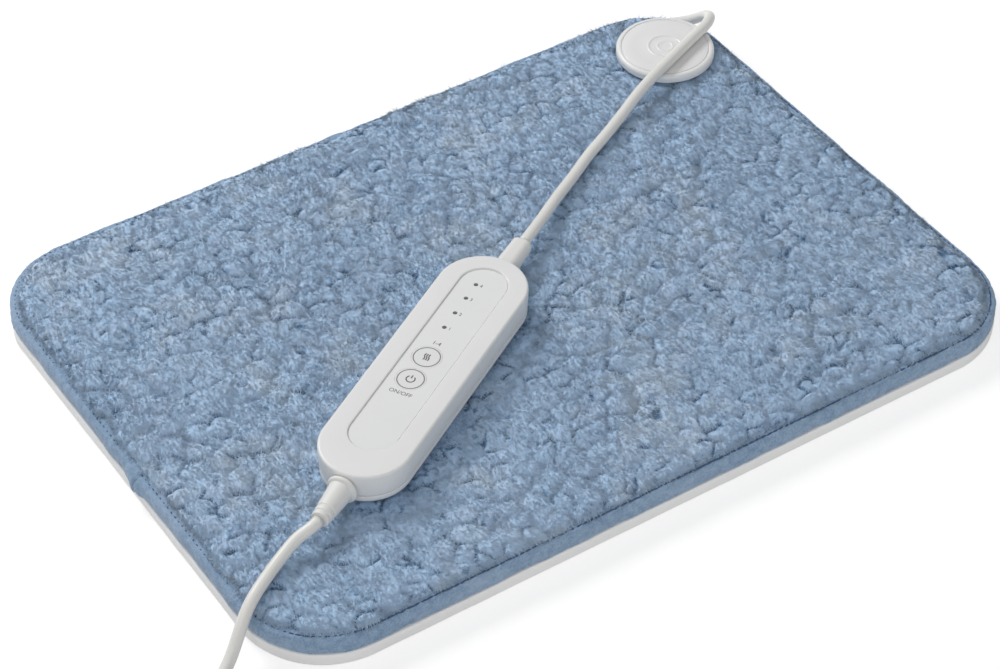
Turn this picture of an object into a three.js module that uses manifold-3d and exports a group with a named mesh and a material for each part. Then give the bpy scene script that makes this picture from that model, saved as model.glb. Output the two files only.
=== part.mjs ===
// Heating pad with an in-line controller, a lead that plugs into the pad, and a coiled mains lead.
// Millimetres, +Z up. X runs along the pad's long side, Y along its short side.
// The origin is the middle of the pad's underside.
import * as THREE from 'three';
import { mergeVertices } from 'three/addons/utils/BufferGeometryUtils.js';
import Module from 'manifold-3d';

const wasm = await Module();
wasm.setup();

// Clearances
const gap = 0.3;
const cutOver = 1;
const weldSize = 0.0001;

// Pad layers, from the floor up
const padLength = 400;
const padDepth = 290;
const padCornerRadius = 42;
const smallestCornerRadius = 3;
const backCoverHeight = 7;
const backCoverRound = 1.6;
const feltHeight = 2;
const feltRound = 0.5;
const bindingWidth = 13;
const bindingHeight = 9;
const bindingRound = 3;
const plushRise = 3.6;
const plushEdgeInset = 4.5;
const plushEdgeRoll = 10;
const plushCrown = 0.6;
const plushCrownReach = 90;
const plushDrawIn = 1.2;

// Heating wire between the felts
const heaterWireDiameter = 1.8;
const heaterMargin = 30;
const heaterRunCount = 19;
const heaterLeadSpacing = 9;

// Safety pieces between the felts
const fuseLength = 12;
const sensorLength = 7;
const sensorWidth = 4;
const safetyOffset = 34;

// Connector in the pad's back right corner
const connectorInsetX = 34;
const connectorInsetY = 42;
const connectorCoverRadius = 25;
const connectorCoverHeight = 4.3;
const connectorCoverRound = 1.6;
const coverGrooveInset = 2.6;
const coverGrooveWidth = 0.5;
const coverGrooveDepth = 0.5;
const coverRingRadius = 9;
const coverRingWidth = 0.8;
const coverRingHeight = 0.3;
const coverBossRadius = 8;
const connectorBodyWidth = 24;
const connectorBodyFrontReach = 15;
const connectorBodyBackReach = 29.5;
const socketShift = 26;
const socketWidth = 18.6;
const socketHeight = 9.6;
const socketAxisHeight = 5.6;
const socketJoin = 6;
const socketMouthInset = 0.6;
const socketSideWall = 3;
const socketFlatWall = 1.9;
const socketFrontWall = 2.6;
const socketCavityDepth = 16;
const contactWidth = 2.4;
const contactHeight = 0.8;
const contactReach = 8;
const contactRoot = 8;
const connectorScrewOffset = 5;
const connectorScrewBack = 3;
const connectorScrewBite = 6;

// Angled plug of the pad lead: its nose goes into the pad, its boot leaves along the pad's edge
const leadPlugWidth = 18;
const leadPlugHeight = 7.6;
const leadPlugDepth = 7.8;
const leadPlugRound = 3.4;
const leadPlugWall = 1.2;
const leadPlugEndWall = 3;
const leadPlugContactWidth = 2.6;
const leadPlugContactHeight = 0.5;
const leadPlugContactLength = 12;
const leadBootRadius = 3.8;
const leadBootTipRadius = 3.3;
const leadBootLength = 14;
const leadBootNeckRadius = 2;
const leadBootCollarRadius = 2.8;
const leadBootCollarLength = 1.6;

// Controller
const controllerXShare = -0.166;
const controllerYShare = -0.1335;
const controllerYaw = THREE.MathUtils.degToRad(30.6);
const controllerLength = 155;
const controllerWidth = 43;
const controllerHeight = 17;
const controllerSeam = 4.7;
const controllerTopRound = 1.9;
const controllerBottomRound = 3;
const controllerDraft = 0.4;
const shellWall = 1.9;
const panelWidth = 22.8;
const panelLowerMargin = 17.4;
const panelUpperMargin = 9;
const panelDepth = 0.8;
const panelHeight = 1.1;
const panelBevel = 1.7;
const panelSeatHeight = 1;

// Power button and heat button, side by side along the controller
const heatButtonAlongShare = 0.024;
const buttonAcrossShare = 0.032;
const buttonRadius = 6.8;
const buttonFlangeWidth = 0.6;
const buttonFlangeHeight = 1;
const buttonClearance = 0.9;
const buttonRound = 0.4;
const buttonHoleGap = 0.35;

// Switches under the buttons
const switchSize = 6;
const switchHeight = 3;
const switchPlungerRadius = 1.7;
const switchPlungerRise = 0.8;
const switchPlungerDip = 1.2;
const switchWellDepth = 2.4;

// Level lights
const ledAlongShares = [0.159, 0.228, 0.299, 0.365];
const ledAcrossShare = 0.075;
const lensRadius = 0.8;
const lensCollarRadius = 1.5;
const lensCollarHeight = 1;
const ledLength = 3;
const ledWidth = 2.4;
const ledHeight = 1.2;

// Circuit board and what stands on it
const boardSideMargin = 7.5;
const boardEndClearance = 1.7;
const boardThickness = 1.6;
const boardPegRadius = 2;
const boardPegAlongShare = 0.3;
const boardPegAcrossShare = 0.25;
const chipLength = 10;
const chipWidth = 6;
const chipHeight = 1.8;
const chipAlongShare = -0.17;
const triacLength = 8;
const triacWidth = 10;
const triacHeight = 4.4;
const triacAlongShare = -0.3;
const capacitorLength = 13;
const capacitorWidth = 6;
const capacitorHeight = 5;
const capacitorAlongShare = -0.23;
const fuseTubeRadius = 2.4;
const fuseTubeLength = 20;
const fuseAlongShare = 0.19;
const boardSideAcrossShare = 0.2;

// Screws
const screwHeadRadius = 2.3;
const screwHeadHeight = 1.4;
const screwShankRadius = 1.2;
const lowerScrewMargin = 15.5;
const upperScrewMargin = 11.5;
const screwAcrossShares = [0.26, -0.21];
const screwPostRadius = 3.4;
const screwSink = 2;
const screwBite = 5;

// Strain reliefs of the controller
const reliefHeightShare = 0.505;
const reliefNeckRadius = 3.7;
const reliefCollarStep = 1;
const reliefCollarLength = 2;
const reliefCollarSink = 3.4;
const lowerFlangeRadius = 7.2;
const lowerFlangeLength = 2.2;
const lowerSleeveRadius = 5.8;
const lowerSleeveTipRadius = 4.2;
const lowerSleeveLength = 19;
const lowerGrooveDepth = 0.7;
const lowerGrooveWidth = 1.1;
const lowerGrooveShares = [0.62, 0.76, 0.9];
const upperStubLength = 21.5;
const upperStubWidth = 10.6;
const upperStubHeight = 9;
const upperStubTipWidth = 8.8;
const upperStubTipHeight = 7.6;
const upperStubRound = 2.4;

// Cords
const cordDiameter = 5.6;
const cordStep = 14;
const coilMiddleRadius = 33.6;
const coilTurns = 7.415;
const coilLayers = 2;
const coilGap = 0.45;
const coilLift = 0.9;
const coilHeading = controllerYaw + Math.PI;
const tieWidth = 9;
const tieThickness = 0.6;
const tieTurn = THREE.MathUtils.degToRad(20);
const tailLength = 30;

// Mains plug, a flat two-pin plug
const mainsBootLength = 24;
const mainsBootRadius = 4.6;
const mainsBootTipRadius = 3.6;
const mainsPlugLength = 36;
const mainsPlugWidth = 35.3;
const mainsPlugHeight = 13.7;
const mainsPlugNeckWidth = 13;
const mainsPlugNeckHeight = 11;
const mainsPlugRound = 4.5;
const pinLength = 19;
const pinRadius = 2;
const pinSpacing = 18.6;
const pinRoot = 7;
const pinTipRound = 0.9;

// Facet counts
const cornerSteps = 8;
const sideSteps = 5;
const stadiumSteps = 12;
const roundSteps = 3;
const crownSteps = 3;
const discSides = 36;
const buttonSides = 24;
const smallSides = 12;
const cordSides = 8;
const wireSides = 4;
const wireBendSteps = 4;
const loopSteps = 24;
const loopSides = 6;

// Worked out from the sizes above
const feltBottom = backCoverHeight + gap;
const wireBottom = feltBottom + feltHeight + gap;
const upperFeltBottom = wireBottom + heaterWireDiameter + gap;
const plushBottom = upperFeltBottom + feltHeight + gap;
const bindingTop = feltBottom + bindingHeight;
const plushLip = bindingTop + gap;
const plushTop = plushLip + plushRise;
const innerInset = bindingWidth + gap;
const cordRadius = cordDiameter / 2;
const connectorX = padLength / 2 - connectorInsetX;
const connectorY = padDepth / 2 - connectorInsetY;
const coverBottom = plushTop + gap;
const coverTop = coverBottom + connectorCoverHeight;
const socketBottom = socketAxisHeight - socketHeight / 2;
const socketTop = socketAxisHeight + socketHeight / 2;
const connectorBodyFront = connectorY - connectorBodyFrontReach;
const connectorBodyBack = connectorY + connectorBodyBackReach;
const socketX = connectorX - socketShift;
const socketLeft = socketX - socketWidth / 2;
const socketRight = connectorX - connectorBodyWidth / 2 + socketJoin;
const socketMouth = padDepth / 2 - socketMouthInset;
const cavityBack = socketMouth - socketCavityDepth;
const socketFront = cavityBack - contactRoot - gap - socketFrontWall;
const cavityWidth = socketWidth - 2 * socketSideWall;
const cavityHeight = socketHeight - 2 * socketFlatWall;
const noseWidth = cavityWidth - 2 * gap;
const noseHeight = cavityHeight - 2 * gap;
const noseInnerWidth = noseWidth - 2 * leadPlugWall;
const noseInnerHeight = noseHeight - 2 * leadPlugWall;
const contactPlaces = [-1, 0, 1];
const contactSpacing = noseInnerWidth / contactPlaces.length;
const controllerX = padLength * controllerXShare;
const controllerY = padDepth * controllerYShare;
const controllerBottom = plushTop + gap;
const controllerTop = controllerBottom + controllerHeight;
const seamHeight = controllerBottom + controllerSeam;
const panelTop = controllerTop - panelDepth;
const panelBottom = panelTop - panelHeight;
const plateBottom = panelBottom - gap - panelSeatHeight;
const panelLength = controllerLength - panelLowerMargin - panelUpperMargin;
const panelAlong = (panelLowerMargin - panelUpperMargin) / 2;
const buttonFlangeRadius = buttonRadius + buttonFlangeWidth;
const buttonSpacing = 2 * buttonFlangeRadius + buttonClearance;
const flangeTop = plateBottom - gap;
const flangeBottom = flangeTop - buttonFlangeHeight;
const plungerTop = flangeBottom - gap;
const switchTop = plungerTop - switchPlungerRise;
const boardTop = switchTop - switchHeight - gap;
const boardBottom = boardTop - boardThickness;
const lowerScrewX = lowerScrewMargin - controllerLength / 2;
const upperScrewX = controllerLength / 2 - upperScrewMargin;
const boardStart = lowerScrewX + screwPostRadius + boardEndClearance;
const boardEnd = upperScrewX - screwPostRadius - boardEndClearance;
const reliefHeight = controllerBottom + controllerHeight * reliefHeightShare;
const coilPitch = cordDiameter + coilGap;
const coilLayerTurns = coilTurns / coilLayers;
const coilOuterRadius = coilMiddleRadius + coilLayerTurns * coilPitch / 2;
const coilInnerRadius = coilMiddleRadius - coilLayerTurns * coilPitch / 2;
const coilBottomHeight = coilLift + cordRadius;
const coilTopHeight = coilBottomHeight + coilPitch * (coilLayers - 1);
const coilStartAngle = coilHeading - Math.PI / 2;
const coilEndAngle = coilStartAngle + coilTurns * 2 * Math.PI;
const tailHeading = coilEndAngle + Math.PI / 2;
const plugAxisHeight = mainsPlugHeight / 2 + gap;

// Routes of the cords' free stretches, chosen point by point
const padLeadRoute = [
  [19.33, 12.0, 29.25],
  [27.9, 17.1, 28.9],
  [39.3, 25.0, 26.8],
  [54.7, 35.6, 24.6],
  [70.2, 45.0, 23.5],
  [85.0, 53.9, 23.4],
  [100.1, 61.7, 23.5],
  [114.8, 69.2, 24.4],
  [128.4, 75.6, 26.8],
  [139.0, 80.4, 27.9],
  [154.2, 87.2, 28.0],
  [175.0, 96.1, 28.0],
  [184.0, 99.8, 28.0],
  [190.0, 102.4, 27.8],
  [195.4, 106.0, 27.0],
  [199.6, 111.0, 24.6],
  [202.0, 117.0, 20.4],
  [202.7, 123.5, 14.9],
  [201.4, 129.8, 9.6],
  [198.3, 135.5, 5.9],
  [194.8, 139.2, 4.2],
  [188.2, 143.8, 3.2],
  [180.6, 147.0, 3.1],
  [172.4, 148.9, 4.1],
  [166.5, 149.2, 5.3],
  [163.1, 149.2, 5.6],
];
const mainsLeadRoute = [
  [-152.3, -89.5, 29.25],
  [-157.0, -90.9, 28.8],
  [-164.2, -91.4, 26.8],
  [-172.0, -93.9, 24.6],
  [-179.3, -97.4, 23.5],
  [-185.6, -101.2, 23.3],
  [-191.4, -104.7, 22.9],
  [-197.2, -108.3, 21.3],
  [-202.2, -111.6, 18.4],
  [-207.2, -115.0, 13.7],
  [-212.1, -118.2, 8.9],
  [-217.1, -121.5, 6.0],
  [-222.1, -124.9, 4.4],
  [-227.9, -128.8, 3.4],
  [-236.6, -134.0, 3.3],
  [-245.9, -139.5, 3.5],
  [-253.7, -144.1, 3.7],
];

// Closed bodies from geometries
function signedVolume(positions, index) {
  const a = new THREE.Vector3();
  const b = new THREE.Vector3();
  const c = new THREE.Vector3();
  let total = 0;
  for (let i = 0; i < index.length; i += 3) {
    a.fromArray(positions, index[i] * 3);
    b.fromArray(positions, index[i + 1] * 3);
    c.fromArray(positions, index[i + 2] * 3);
    total += a.dot(b.cross(c));
  }
  return total / 6;
}

function closedMesh(geometry) {
  const bare = geometry.clone();
  bare.deleteAttribute('normal');
  bare.deleteAttribute('uv');
  const merged = mergeVertices(bare, weldSize);
  const source = merged.index.array;
  const index = [];
  for (let i = 0; i < source.length; i += 3) {
    const [a, b, c] = [source[i], source[i + 1], source[i + 2]];
    if (a !== b && b !== c && c !== a) {
      index.push(a, b, c);
    }
  }
  const positions = merged.attributes.position.array;
  if (signedVolume(positions, index) < 0) {
    for (let i = 0; i < index.length; i += 3) {
      [index[i], index[i + 1]] = [index[i + 1], index[i]];
    }
  }
  return { positions, index };
}

function solidOf(geometry) {
  const { positions, index } = closedMesh(geometry);
  const mesh = new wasm.Mesh({
    numProp: 3,
    vertProperties: new Float32Array(positions),
    triVerts: new Uint32Array(index),
  });
  return new wasm.Manifold(mesh);
}

function geometryOf(solid) {
  const mesh = solid.getMesh();
  const geometry = new THREE.BufferGeometry();
  geometry.setAttribute('position', new THREE.BufferAttribute(mesh.vertProperties, 3));
  geometry.setIndex(new THREE.BufferAttribute(mesh.triVerts, 1));
  return geometry;
}

// Outlines, counter-clockwise lists of plan points
function roundedOutline(length, width, radius, drawIn = 0, stepsPerSide = 0) {
  const r = Math.min(radius, length / 2, width / 2);
  const corners = [
    [length / 2 - r, width / 2 - r],
    [r - length / 2, width / 2 - r],
    [r - length / 2, r - width / 2],
    [length / 2 - r, r - width / 2],
  ];
  const points = [];
  corners.forEach(([x, y], corner) => {
    for (let i = 0; i <= cornerSteps; i += 1) {
      const angle = (corner + i / cornerSteps) * Math.PI / 2;
      points.push([x + r * Math.cos(angle), y + r * Math.sin(angle)]);
    }
    const last = points[points.length - 1];
    const [nextX, nextY] = corners[(corner + 1) % 4];
    const turn = (corner + 1) * Math.PI / 2;
    const next = [nextX + r * Math.cos(turn), nextY + r * Math.sin(turn)];
    for (let i = 1; i <= stepsPerSide; i += 1) {
      const share = i / (stepsPerSide + 1);
      const dip = drawIn * Math.sin(Math.PI * share);
      points.push([
        last[0] + (next[0] - last[0]) * share - dip * Math.cos(turn),
        last[1] + (next[1] - last[1]) * share - dip * Math.sin(turn),
      ]);
    }
  });
  return points;
}

function stadiumOutline(length, width) {
  const r = width / 2;
  const points = [];
  [length / 2 - r, r - length / 2].forEach((x, end) => {
    for (let i = 0; i <= stadiumSteps; i += 1) {
      const angle = (end + i / stadiumSteps - 1 / 2) * Math.PI;
      points.push([x + r * Math.cos(angle), r * Math.sin(angle)]);
    }
  });
  return points;
}

function padOutline(inset, drawIn = 0, stepsPerSide = 0) {
  const radius = Math.max(padCornerRadius - inset, smallestCornerRadius);
  return roundedOutline(padLength - 2 * inset, padDepth - 2 * inset, radius, drawIn, stepsPerSide);
}

// A quarter turn of edge rounding: pairs of inset and height
function edgeRound(inset, height, radius, rising) {
  const pairs = [];
  for (let i = 0; i <= roundSteps; i += 1) {
    const angle = (i / roundSteps) * Math.PI / 2;
    const back = radius * (1 - Math.cos(angle));
    const up = radius * (1 - Math.sin(angle));
    if (rising) {
      pairs.push([inset + radius * (1 - Math.sin(angle)), height + radius * (1 - Math.cos(angle))]);
    } else {
      pairs.push([inset + back, height - up]);
    }
  }
  return pairs;
}

// A body through rings of equal point counts, capped or joined end to end
function skin(rings, joined = false) {
  const count = rings[0].length;
  const positions = rings.flat(2);
  const index = [];
  const spans = joined ? rings.length : rings.length - 1;
  for (let k = 0; k < spans; k += 1) {
    const low = k * count;
    const high = ((k + 1) % rings.length) * count;
    for (let i = 0; i < count; i += 1) {
      const next = (i + 1) % count;
      index.push(low + i, low + next, high + next);
      index.push(low + i, high + next, high + i);
    }
  }
  if (!joined) {
    [rings[0], rings[rings.length - 1]].forEach((ring, end) => {
      const middle = [0, 1, 2].map((k) => ring.reduce((sum, p) => sum + p[k], 0) / count);
      const centre = positions.length / 3;
      positions.push(...middle);
      const start = end * (rings.length - 1) * count;
      for (let i = 0; i < count; i += 1) {
        const next = (i + 1) % count;
        const pair = end ? [start + i, start + next] : [start + next, start + i];
        index.push(centre, ...pair);
      }
    });
  }
  const geometry = new THREE.BufferGeometry();
  geometry.setAttribute('position', new THREE.Float32BufferAttribute(positions, 3));
  geometry.setIndex(index);
  return geometry;
}

function stack(outline, profile, joined = false) {
  const rings = profile.map(([inset, z]) => outline(inset).map(([x, y]) => [x, y, z]));
  return skin(rings, joined);
}

// Simple bodies as solids
function block(x0, x1, y0, y1, z0, z1) {
  const box = new THREE.BoxGeometry(x1 - x0, y1 - y0, z1 - z0);
  box.translate((x0 + x1) / 2, (y0 + y1) / 2, (z0 + z1) / 2);
  return solidOf(box);
}

function rod(radius, z0, z1, x = 0, y = 0, sides = smallSides) {
  const cylinder = new THREE.CylinderGeometry(radius, radius, z1 - z0, sides);
  cylinder.rotateX(Math.PI / 2);
  cylinder.translate(x, y, (z0 + z1) / 2);
  return solidOf(cylinder);
}

// A turned body about Z from pairs of radius and height, bottom to top
function turned(profile, sides = smallSides) {
  const points = profile.map(([r, z]) => new THREE.Vector2(r, z));
  const lathe = new THREE.LatheGeometry(points, sides);
  lathe.rotateX(Math.PI / 2);
  return lathe;
}

function alongX(geometry) {
  return geometry.rotateY(Math.PI / 2);
}

function alongY(geometry) {
  return geometry.rotateX(-Math.PI / 2);
}

function screwGeometry(shankLength) {
  return turned([
    [0, 0],
    [screwHeadRadius, 0],
    [screwHeadRadius, screwHeadHeight],
    [screwShankRadius, screwHeadHeight],
    [screwShankRadius, screwHeadHeight + shankLength],
    [0, screwHeadHeight + shankLength],
  ], smallSides);
}

// A tube through rings set square to a path
function sweep(path, tangents, radius, sides) {
  const up = new THREE.Vector3(0, 0, 1);
  const rings = path.map((point, k) => {
    const side = new THREE.Vector3().crossVectors(tangents[k], up).normalize();
    const rise = new THREE.Vector3().crossVectors(side, tangents[k]).normalize();
    const ring = [];
    for (let i = 0; i < sides; i += 1) {
      const angle = ((i + 1 / 2) / sides) * 2 * Math.PI;
      const spot = point.clone();
      spot.addScaledVector(side, radius * Math.cos(angle));
      spot.addScaledVector(rise, radius * Math.sin(angle));
      ring.push(spot.toArray());
    }
    return ring;
  });
  return skin(rings);
}

function cordGeometry(points) {
  const curve = new THREE.CatmullRomCurve3(points.map((p) => new THREE.Vector3(...p)));
  const section = new THREE.Shape();
  for (let i = 0; i < cordSides; i += 1) {
    const angle = (i / cordSides) * 2 * Math.PI;
    const spot = [cordRadius * Math.cos(angle), cordRadius * Math.sin(angle)];
    if (i) {
      section.lineTo(...spot);
    } else {
      section.moveTo(...spot);
    }
  }
  const steps = Math.ceil(curve.getLength() / cordStep);
  return new THREE.ExtrudeGeometry(section, { steps, extrudePath: curve, bevelEnabled: false });
}

// Materials
function material(color, roughness, metalness = 0) {
  return new THREE.MeshStandardMaterial({ color, roughness, metalness });
}

const object = new THREE.Group();
object.name = 'heating_pad';

function addPiece(parent, name, shape, finish) {
  const source = shape.getMesh ? geometryOf(shape) : shape;
  const { positions, index } = closedMesh(source);
  const geometry = new THREE.BufferGeometry();
  geometry.setAttribute('position', new THREE.Float32BufferAttribute(positions, 3));
  geometry.setIndex(index);
  geometry.computeVertexNormals();
  const mesh = new THREE.Mesh(geometry, finish);
  mesh.name = name;
  parent.add(mesh);
  return mesh;
}

// Room that the connector takes in the pad's layers
function socketRoom(z0, z1) {
  const side = connectorBodyWidth / 2 + gap;
  const underCover = block(
    connectorX - side,
    connectorX + side,
    connectorBodyFront - gap,
    connectorBodyBack + gap,
    z0,
    z1,
  );
  const atEdge = block(
    socketLeft - gap,
    socketRight + gap,
    socketFront - gap,
    padDepth / 2 + cutOver,
    z0,
    z1,
  );
  return underCover.add(atEdge);
}

// Pad
function makePad() {
  const socketSpace = socketRoom(socketBottom - gap, socketTop + gap);
  const bossSpace = rod(coverBossRadius + gap, socketTop, coverTop, connectorX, connectorY, buttonSides);

  const backCover = solidOf(stack(padOutline, [
    ...edgeRound(0, 0, backCoverRound, true),
    ...edgeRound(0, backCoverHeight, backCoverRound / 2, false),
  ]));
  addPiece(object, 'pad_back_cover', backCover.subtract(socketSpace), material(0xe9e8e4, 0.9));

  const bindingProfile = [
    [innerInset - gap, feltBottom],
    ...edgeRound(0, feltBottom, bindingRound / 2, true),
    ...edgeRound(0, bindingTop, bindingRound, false),
    [innerInset - gap, bindingTop],
  ];
  const binding = solidOf(stack(padOutline, bindingProfile, true));
  addPiece(object, 'pad_edge_binding', binding.subtract(socketSpace), material(0x8fa9c6, 0.95));

  [['lower_felt_layer', feltBottom], ['upper_felt_layer', upperFeltBottom]].forEach(([name, z]) => {
    const layer = solidOf(stack(padOutline, [
      [innerInset + feltRound, z],
      [innerInset, z + feltRound],
      [innerInset, z + feltHeight - feltRound],
      [innerInset + feltRound, z + feltHeight],
    ]));
    addPiece(object, name, layer.subtract(socketSpace).subtract(bossSpace), material(0xb9b6ae, 1));
  });

  const edgeRise = plushRise - plushCrown;
  const plushProfile = [
    [innerInset, plushBottom],
    [innerInset, plushLip],
    [plushEdgeInset + plushDrawIn, plushLip],
  ];
  for (let i = 1; i <= roundSteps + 1; i += 1) {
    const angle = (i / (roundSteps + 1)) * Math.PI / 2;
    const inset = plushEdgeInset + plushEdgeRoll * (1 - Math.cos(angle));
    plushProfile.push([inset, plushLip + edgeRise * Math.sin(angle)]);
  }
  for (let i = 1; i <= crownSteps; i += 1) {
    const share = i / crownSteps;
    const inset = plushEdgeInset + plushEdgeRoll + plushCrownReach * share;
    plushProfile.push([inset, plushTop - plushCrown * (1 - share) ** 2]);
  }
  const outline = (inset) => padOutline(inset, plushDrawIn, sideSteps);
  const plush = solidOf(stack(outline, plushProfile));
  const plushCut = plush.subtract(socketSpace).subtract(bossSpace);
  addPiece(object, 'pad_plush_cover', plushCut, material(0x8aa6c8, 1));
}

// Heating wire: down one side, along the front, then to and fro across the pad
function makeHeater() {
  const z = wireBottom + heaterWireDiameter / 2;
  const left = heaterMargin - padLength / 2;
  const right = connectorX - heaterLeadSpacing / 2;
  const front = heaterMargin - padDepth / 2;
  const back = padDepth / 2 - heaterMargin;
  const pitch = (right - left) / (heaterRunCount - 1);
  const bend = pitch / 2;
  const leadX = right + heaterLeadSpacing;
  const runFront = front + pitch;
  const socketEdge = connectorBodyFront - gap - heaterWireDiameter;
  const path = [];
  const tangents = [];
  const addPoint = (x, y, angle) => {
    path.push(new THREE.Vector3(x, y, z));
    tangents.push(new THREE.Vector3(Math.cos(angle), Math.sin(angle), 0));
  };
  const addBend = (x, y, radius, from, turn) => {
    for (let i = 0; i <= wireBendSteps; i += 1) {
      const heading = from + turn * (i / wireBendSteps);
      const side = turn > 0 ? -1 : 1;
      const angle = heading + side * Math.PI / 2;
      addPoint(x + radius * Math.cos(angle), y + radius * Math.sin(angle), heading);
    }
  };
  addPoint(leadX, socketEdge, -Math.PI / 2);
  addBend(leadX - bend, front + bend, bend, -Math.PI / 2, -Math.PI / 2);
  addBend(left + bend, front + bend, bend, Math.PI, -Math.PI / 2);
  for (let run = 0; run < heaterRunCount - 1; run += 1) {
    const x = left + (run + 1 / 2) * pitch;
    if (run % 2 === 0) {
      addBend(x, back - bend, bend, Math.PI / 2, -Math.PI);
    } else {
      addBend(x, runFront + bend, bend, -Math.PI / 2, Math.PI);
    }
  }
  addPoint(right, socketEdge, Math.PI / 2);
  const flatRadius = heaterWireDiameter / 2 / Math.cos(Math.PI / wireSides);
  const wire = sweep(path, tangents, flatRadius, wireSides);
  addPiece(object, 'heating_wire', wire, material(0xd9cdb8, 0.6));

  const betweenRuns = left + (heaterRunCount / 2) * pitch;
  const fuse = alongY(turned([
    [0, -fuseLength / 2],
    [heaterWireDiameter / 2, -fuseLength / 2],
    [heaterWireDiameter / 2, fuseLength / 2],
    [0, fuseLength / 2],
  ], cordSides));
  fuse.translate(betweenRuns, safetyOffset, z);
  addPiece(object, 'thermal_fuse', fuse, material(0xb8b8b8, 0.3, 1));

  const sensor = block(
    betweenRuns - sensorWidth / 2,
    betweenRuns + sensorWidth / 2,
    -safetyOffset - sensorLength / 2,
    sensorLength / 2 - safetyOffset,
    wireBottom,
    wireBottom + heaterWireDiameter,
  );
  addPiece(object, 'temperature_sensor', sensor, material(0x2d2d2d, 0.5));
}

// Connector: round cover above the plush, socket housing below it
function makeConnector() {
  const white = material(0xe9e9e9, 0.42);
  const face = coverTop;
  const grooveOut = connectorCoverRadius - coverGrooveInset;
  const grooveIn = grooveOut - coverGrooveWidth;
  const ringIn = coverRingRadius - coverRingWidth;
  const rim = edgeRound(0, coverTop, connectorCoverRound, false);
  const cover = turned([
    [0, socketTop + gap],
    [coverBossRadius, socketTop + gap],
    [coverBossRadius, coverBottom],
    [connectorCoverRadius, coverBottom],
    ...rim.map(([inset, z]) => [connectorCoverRadius - inset, z]),
    [grooveOut, face],
    [grooveOut, face - coverGrooveDepth],
    [grooveIn, face - coverGrooveDepth],
    [grooveIn, face],
    [coverRingRadius, face],
    [coverRingRadius, face + coverRingHeight],
    [ringIn, face + coverRingHeight],
    [ringIn, face],
    [0, face],
  ], discSides);
  cover.translate(connectorX, connectorY, 0);

  const side = connectorBodyWidth / 2;
  const underCover = block(
    connectorX - side,
    connectorX + side,
    connectorBodyFront,
    connectorBodyBack,
    socketBottom,
    socketTop,
  );
  let base = underCover.add(block(
    socketLeft,
    socketRight,
    socketFront,
    socketMouth,
    socketBottom,
    socketTop,
  ));
  base = base.subtract(block(
    socketX - cavityWidth / 2,
    socketX + cavityWidth / 2,
    cavityBack,
    socketMouth + cutOver,
    socketAxisHeight - cavityHeight / 2,
    socketAxisHeight + cavityHeight / 2,
  ));
  contactPlaces.forEach((place, i) => {
    const x = socketX + place * contactSpacing;
    base = base.subtract(block(
      x - contactWidth / 2 - gap,
      x + contactWidth / 2 + gap,
      cavityBack - contactRoot - gap,
      cavityBack + cutOver,
      socketAxisHeight - contactHeight / 2 - gap,
      socketAxisHeight + contactHeight / 2 + gap,
    ));
    const blade = block(
      x - contactWidth / 2,
      x + contactWidth / 2,
      cavityBack - contactRoot,
      cavityBack + contactReach,
      socketAxisHeight - contactHeight / 2,
      socketAxisHeight + contactHeight / 2,
    );
    addPiece(object, `connector_contact_${i + 1}`, blade, material(0xd6b25e, 0.3, 1));
  });

  const screwY = connectorY - connectorScrewBack;
  const headTop = socketBottom + screwHeadHeight + gap;
  const shankLength = socketTop - headTop + connectorScrewBite;
  let coverSolid = solidOf(cover);
  [-1, 1].forEach((place, i) => {
    const x = connectorX + place * connectorScrewOffset;
    base = base.subtract(rod(screwHeadRadius + gap, socketBottom - cutOver, headTop + gap, x, screwY));
    base = base.subtract(rod(screwShankRadius + gap, socketBottom, socketTop + cutOver, x, screwY));
    const holeTop = socketTop + connectorScrewBite + gap;
    coverSolid = coverSolid.subtract(rod(screwShankRadius + gap, socketTop, holeTop, x, screwY));
    const screw = screwGeometry(shankLength);
    screw.translate(x, screwY, socketBottom + gap);
    addPiece(object, `connector_screw_${i + 1}`, screw, material(0xa8a8a8, 0.3, 1));
  });
  addPiece(object, 'connector_base', base, white);
  addPiece(object, 'connector_cover', coverSolid, white);
}

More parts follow.
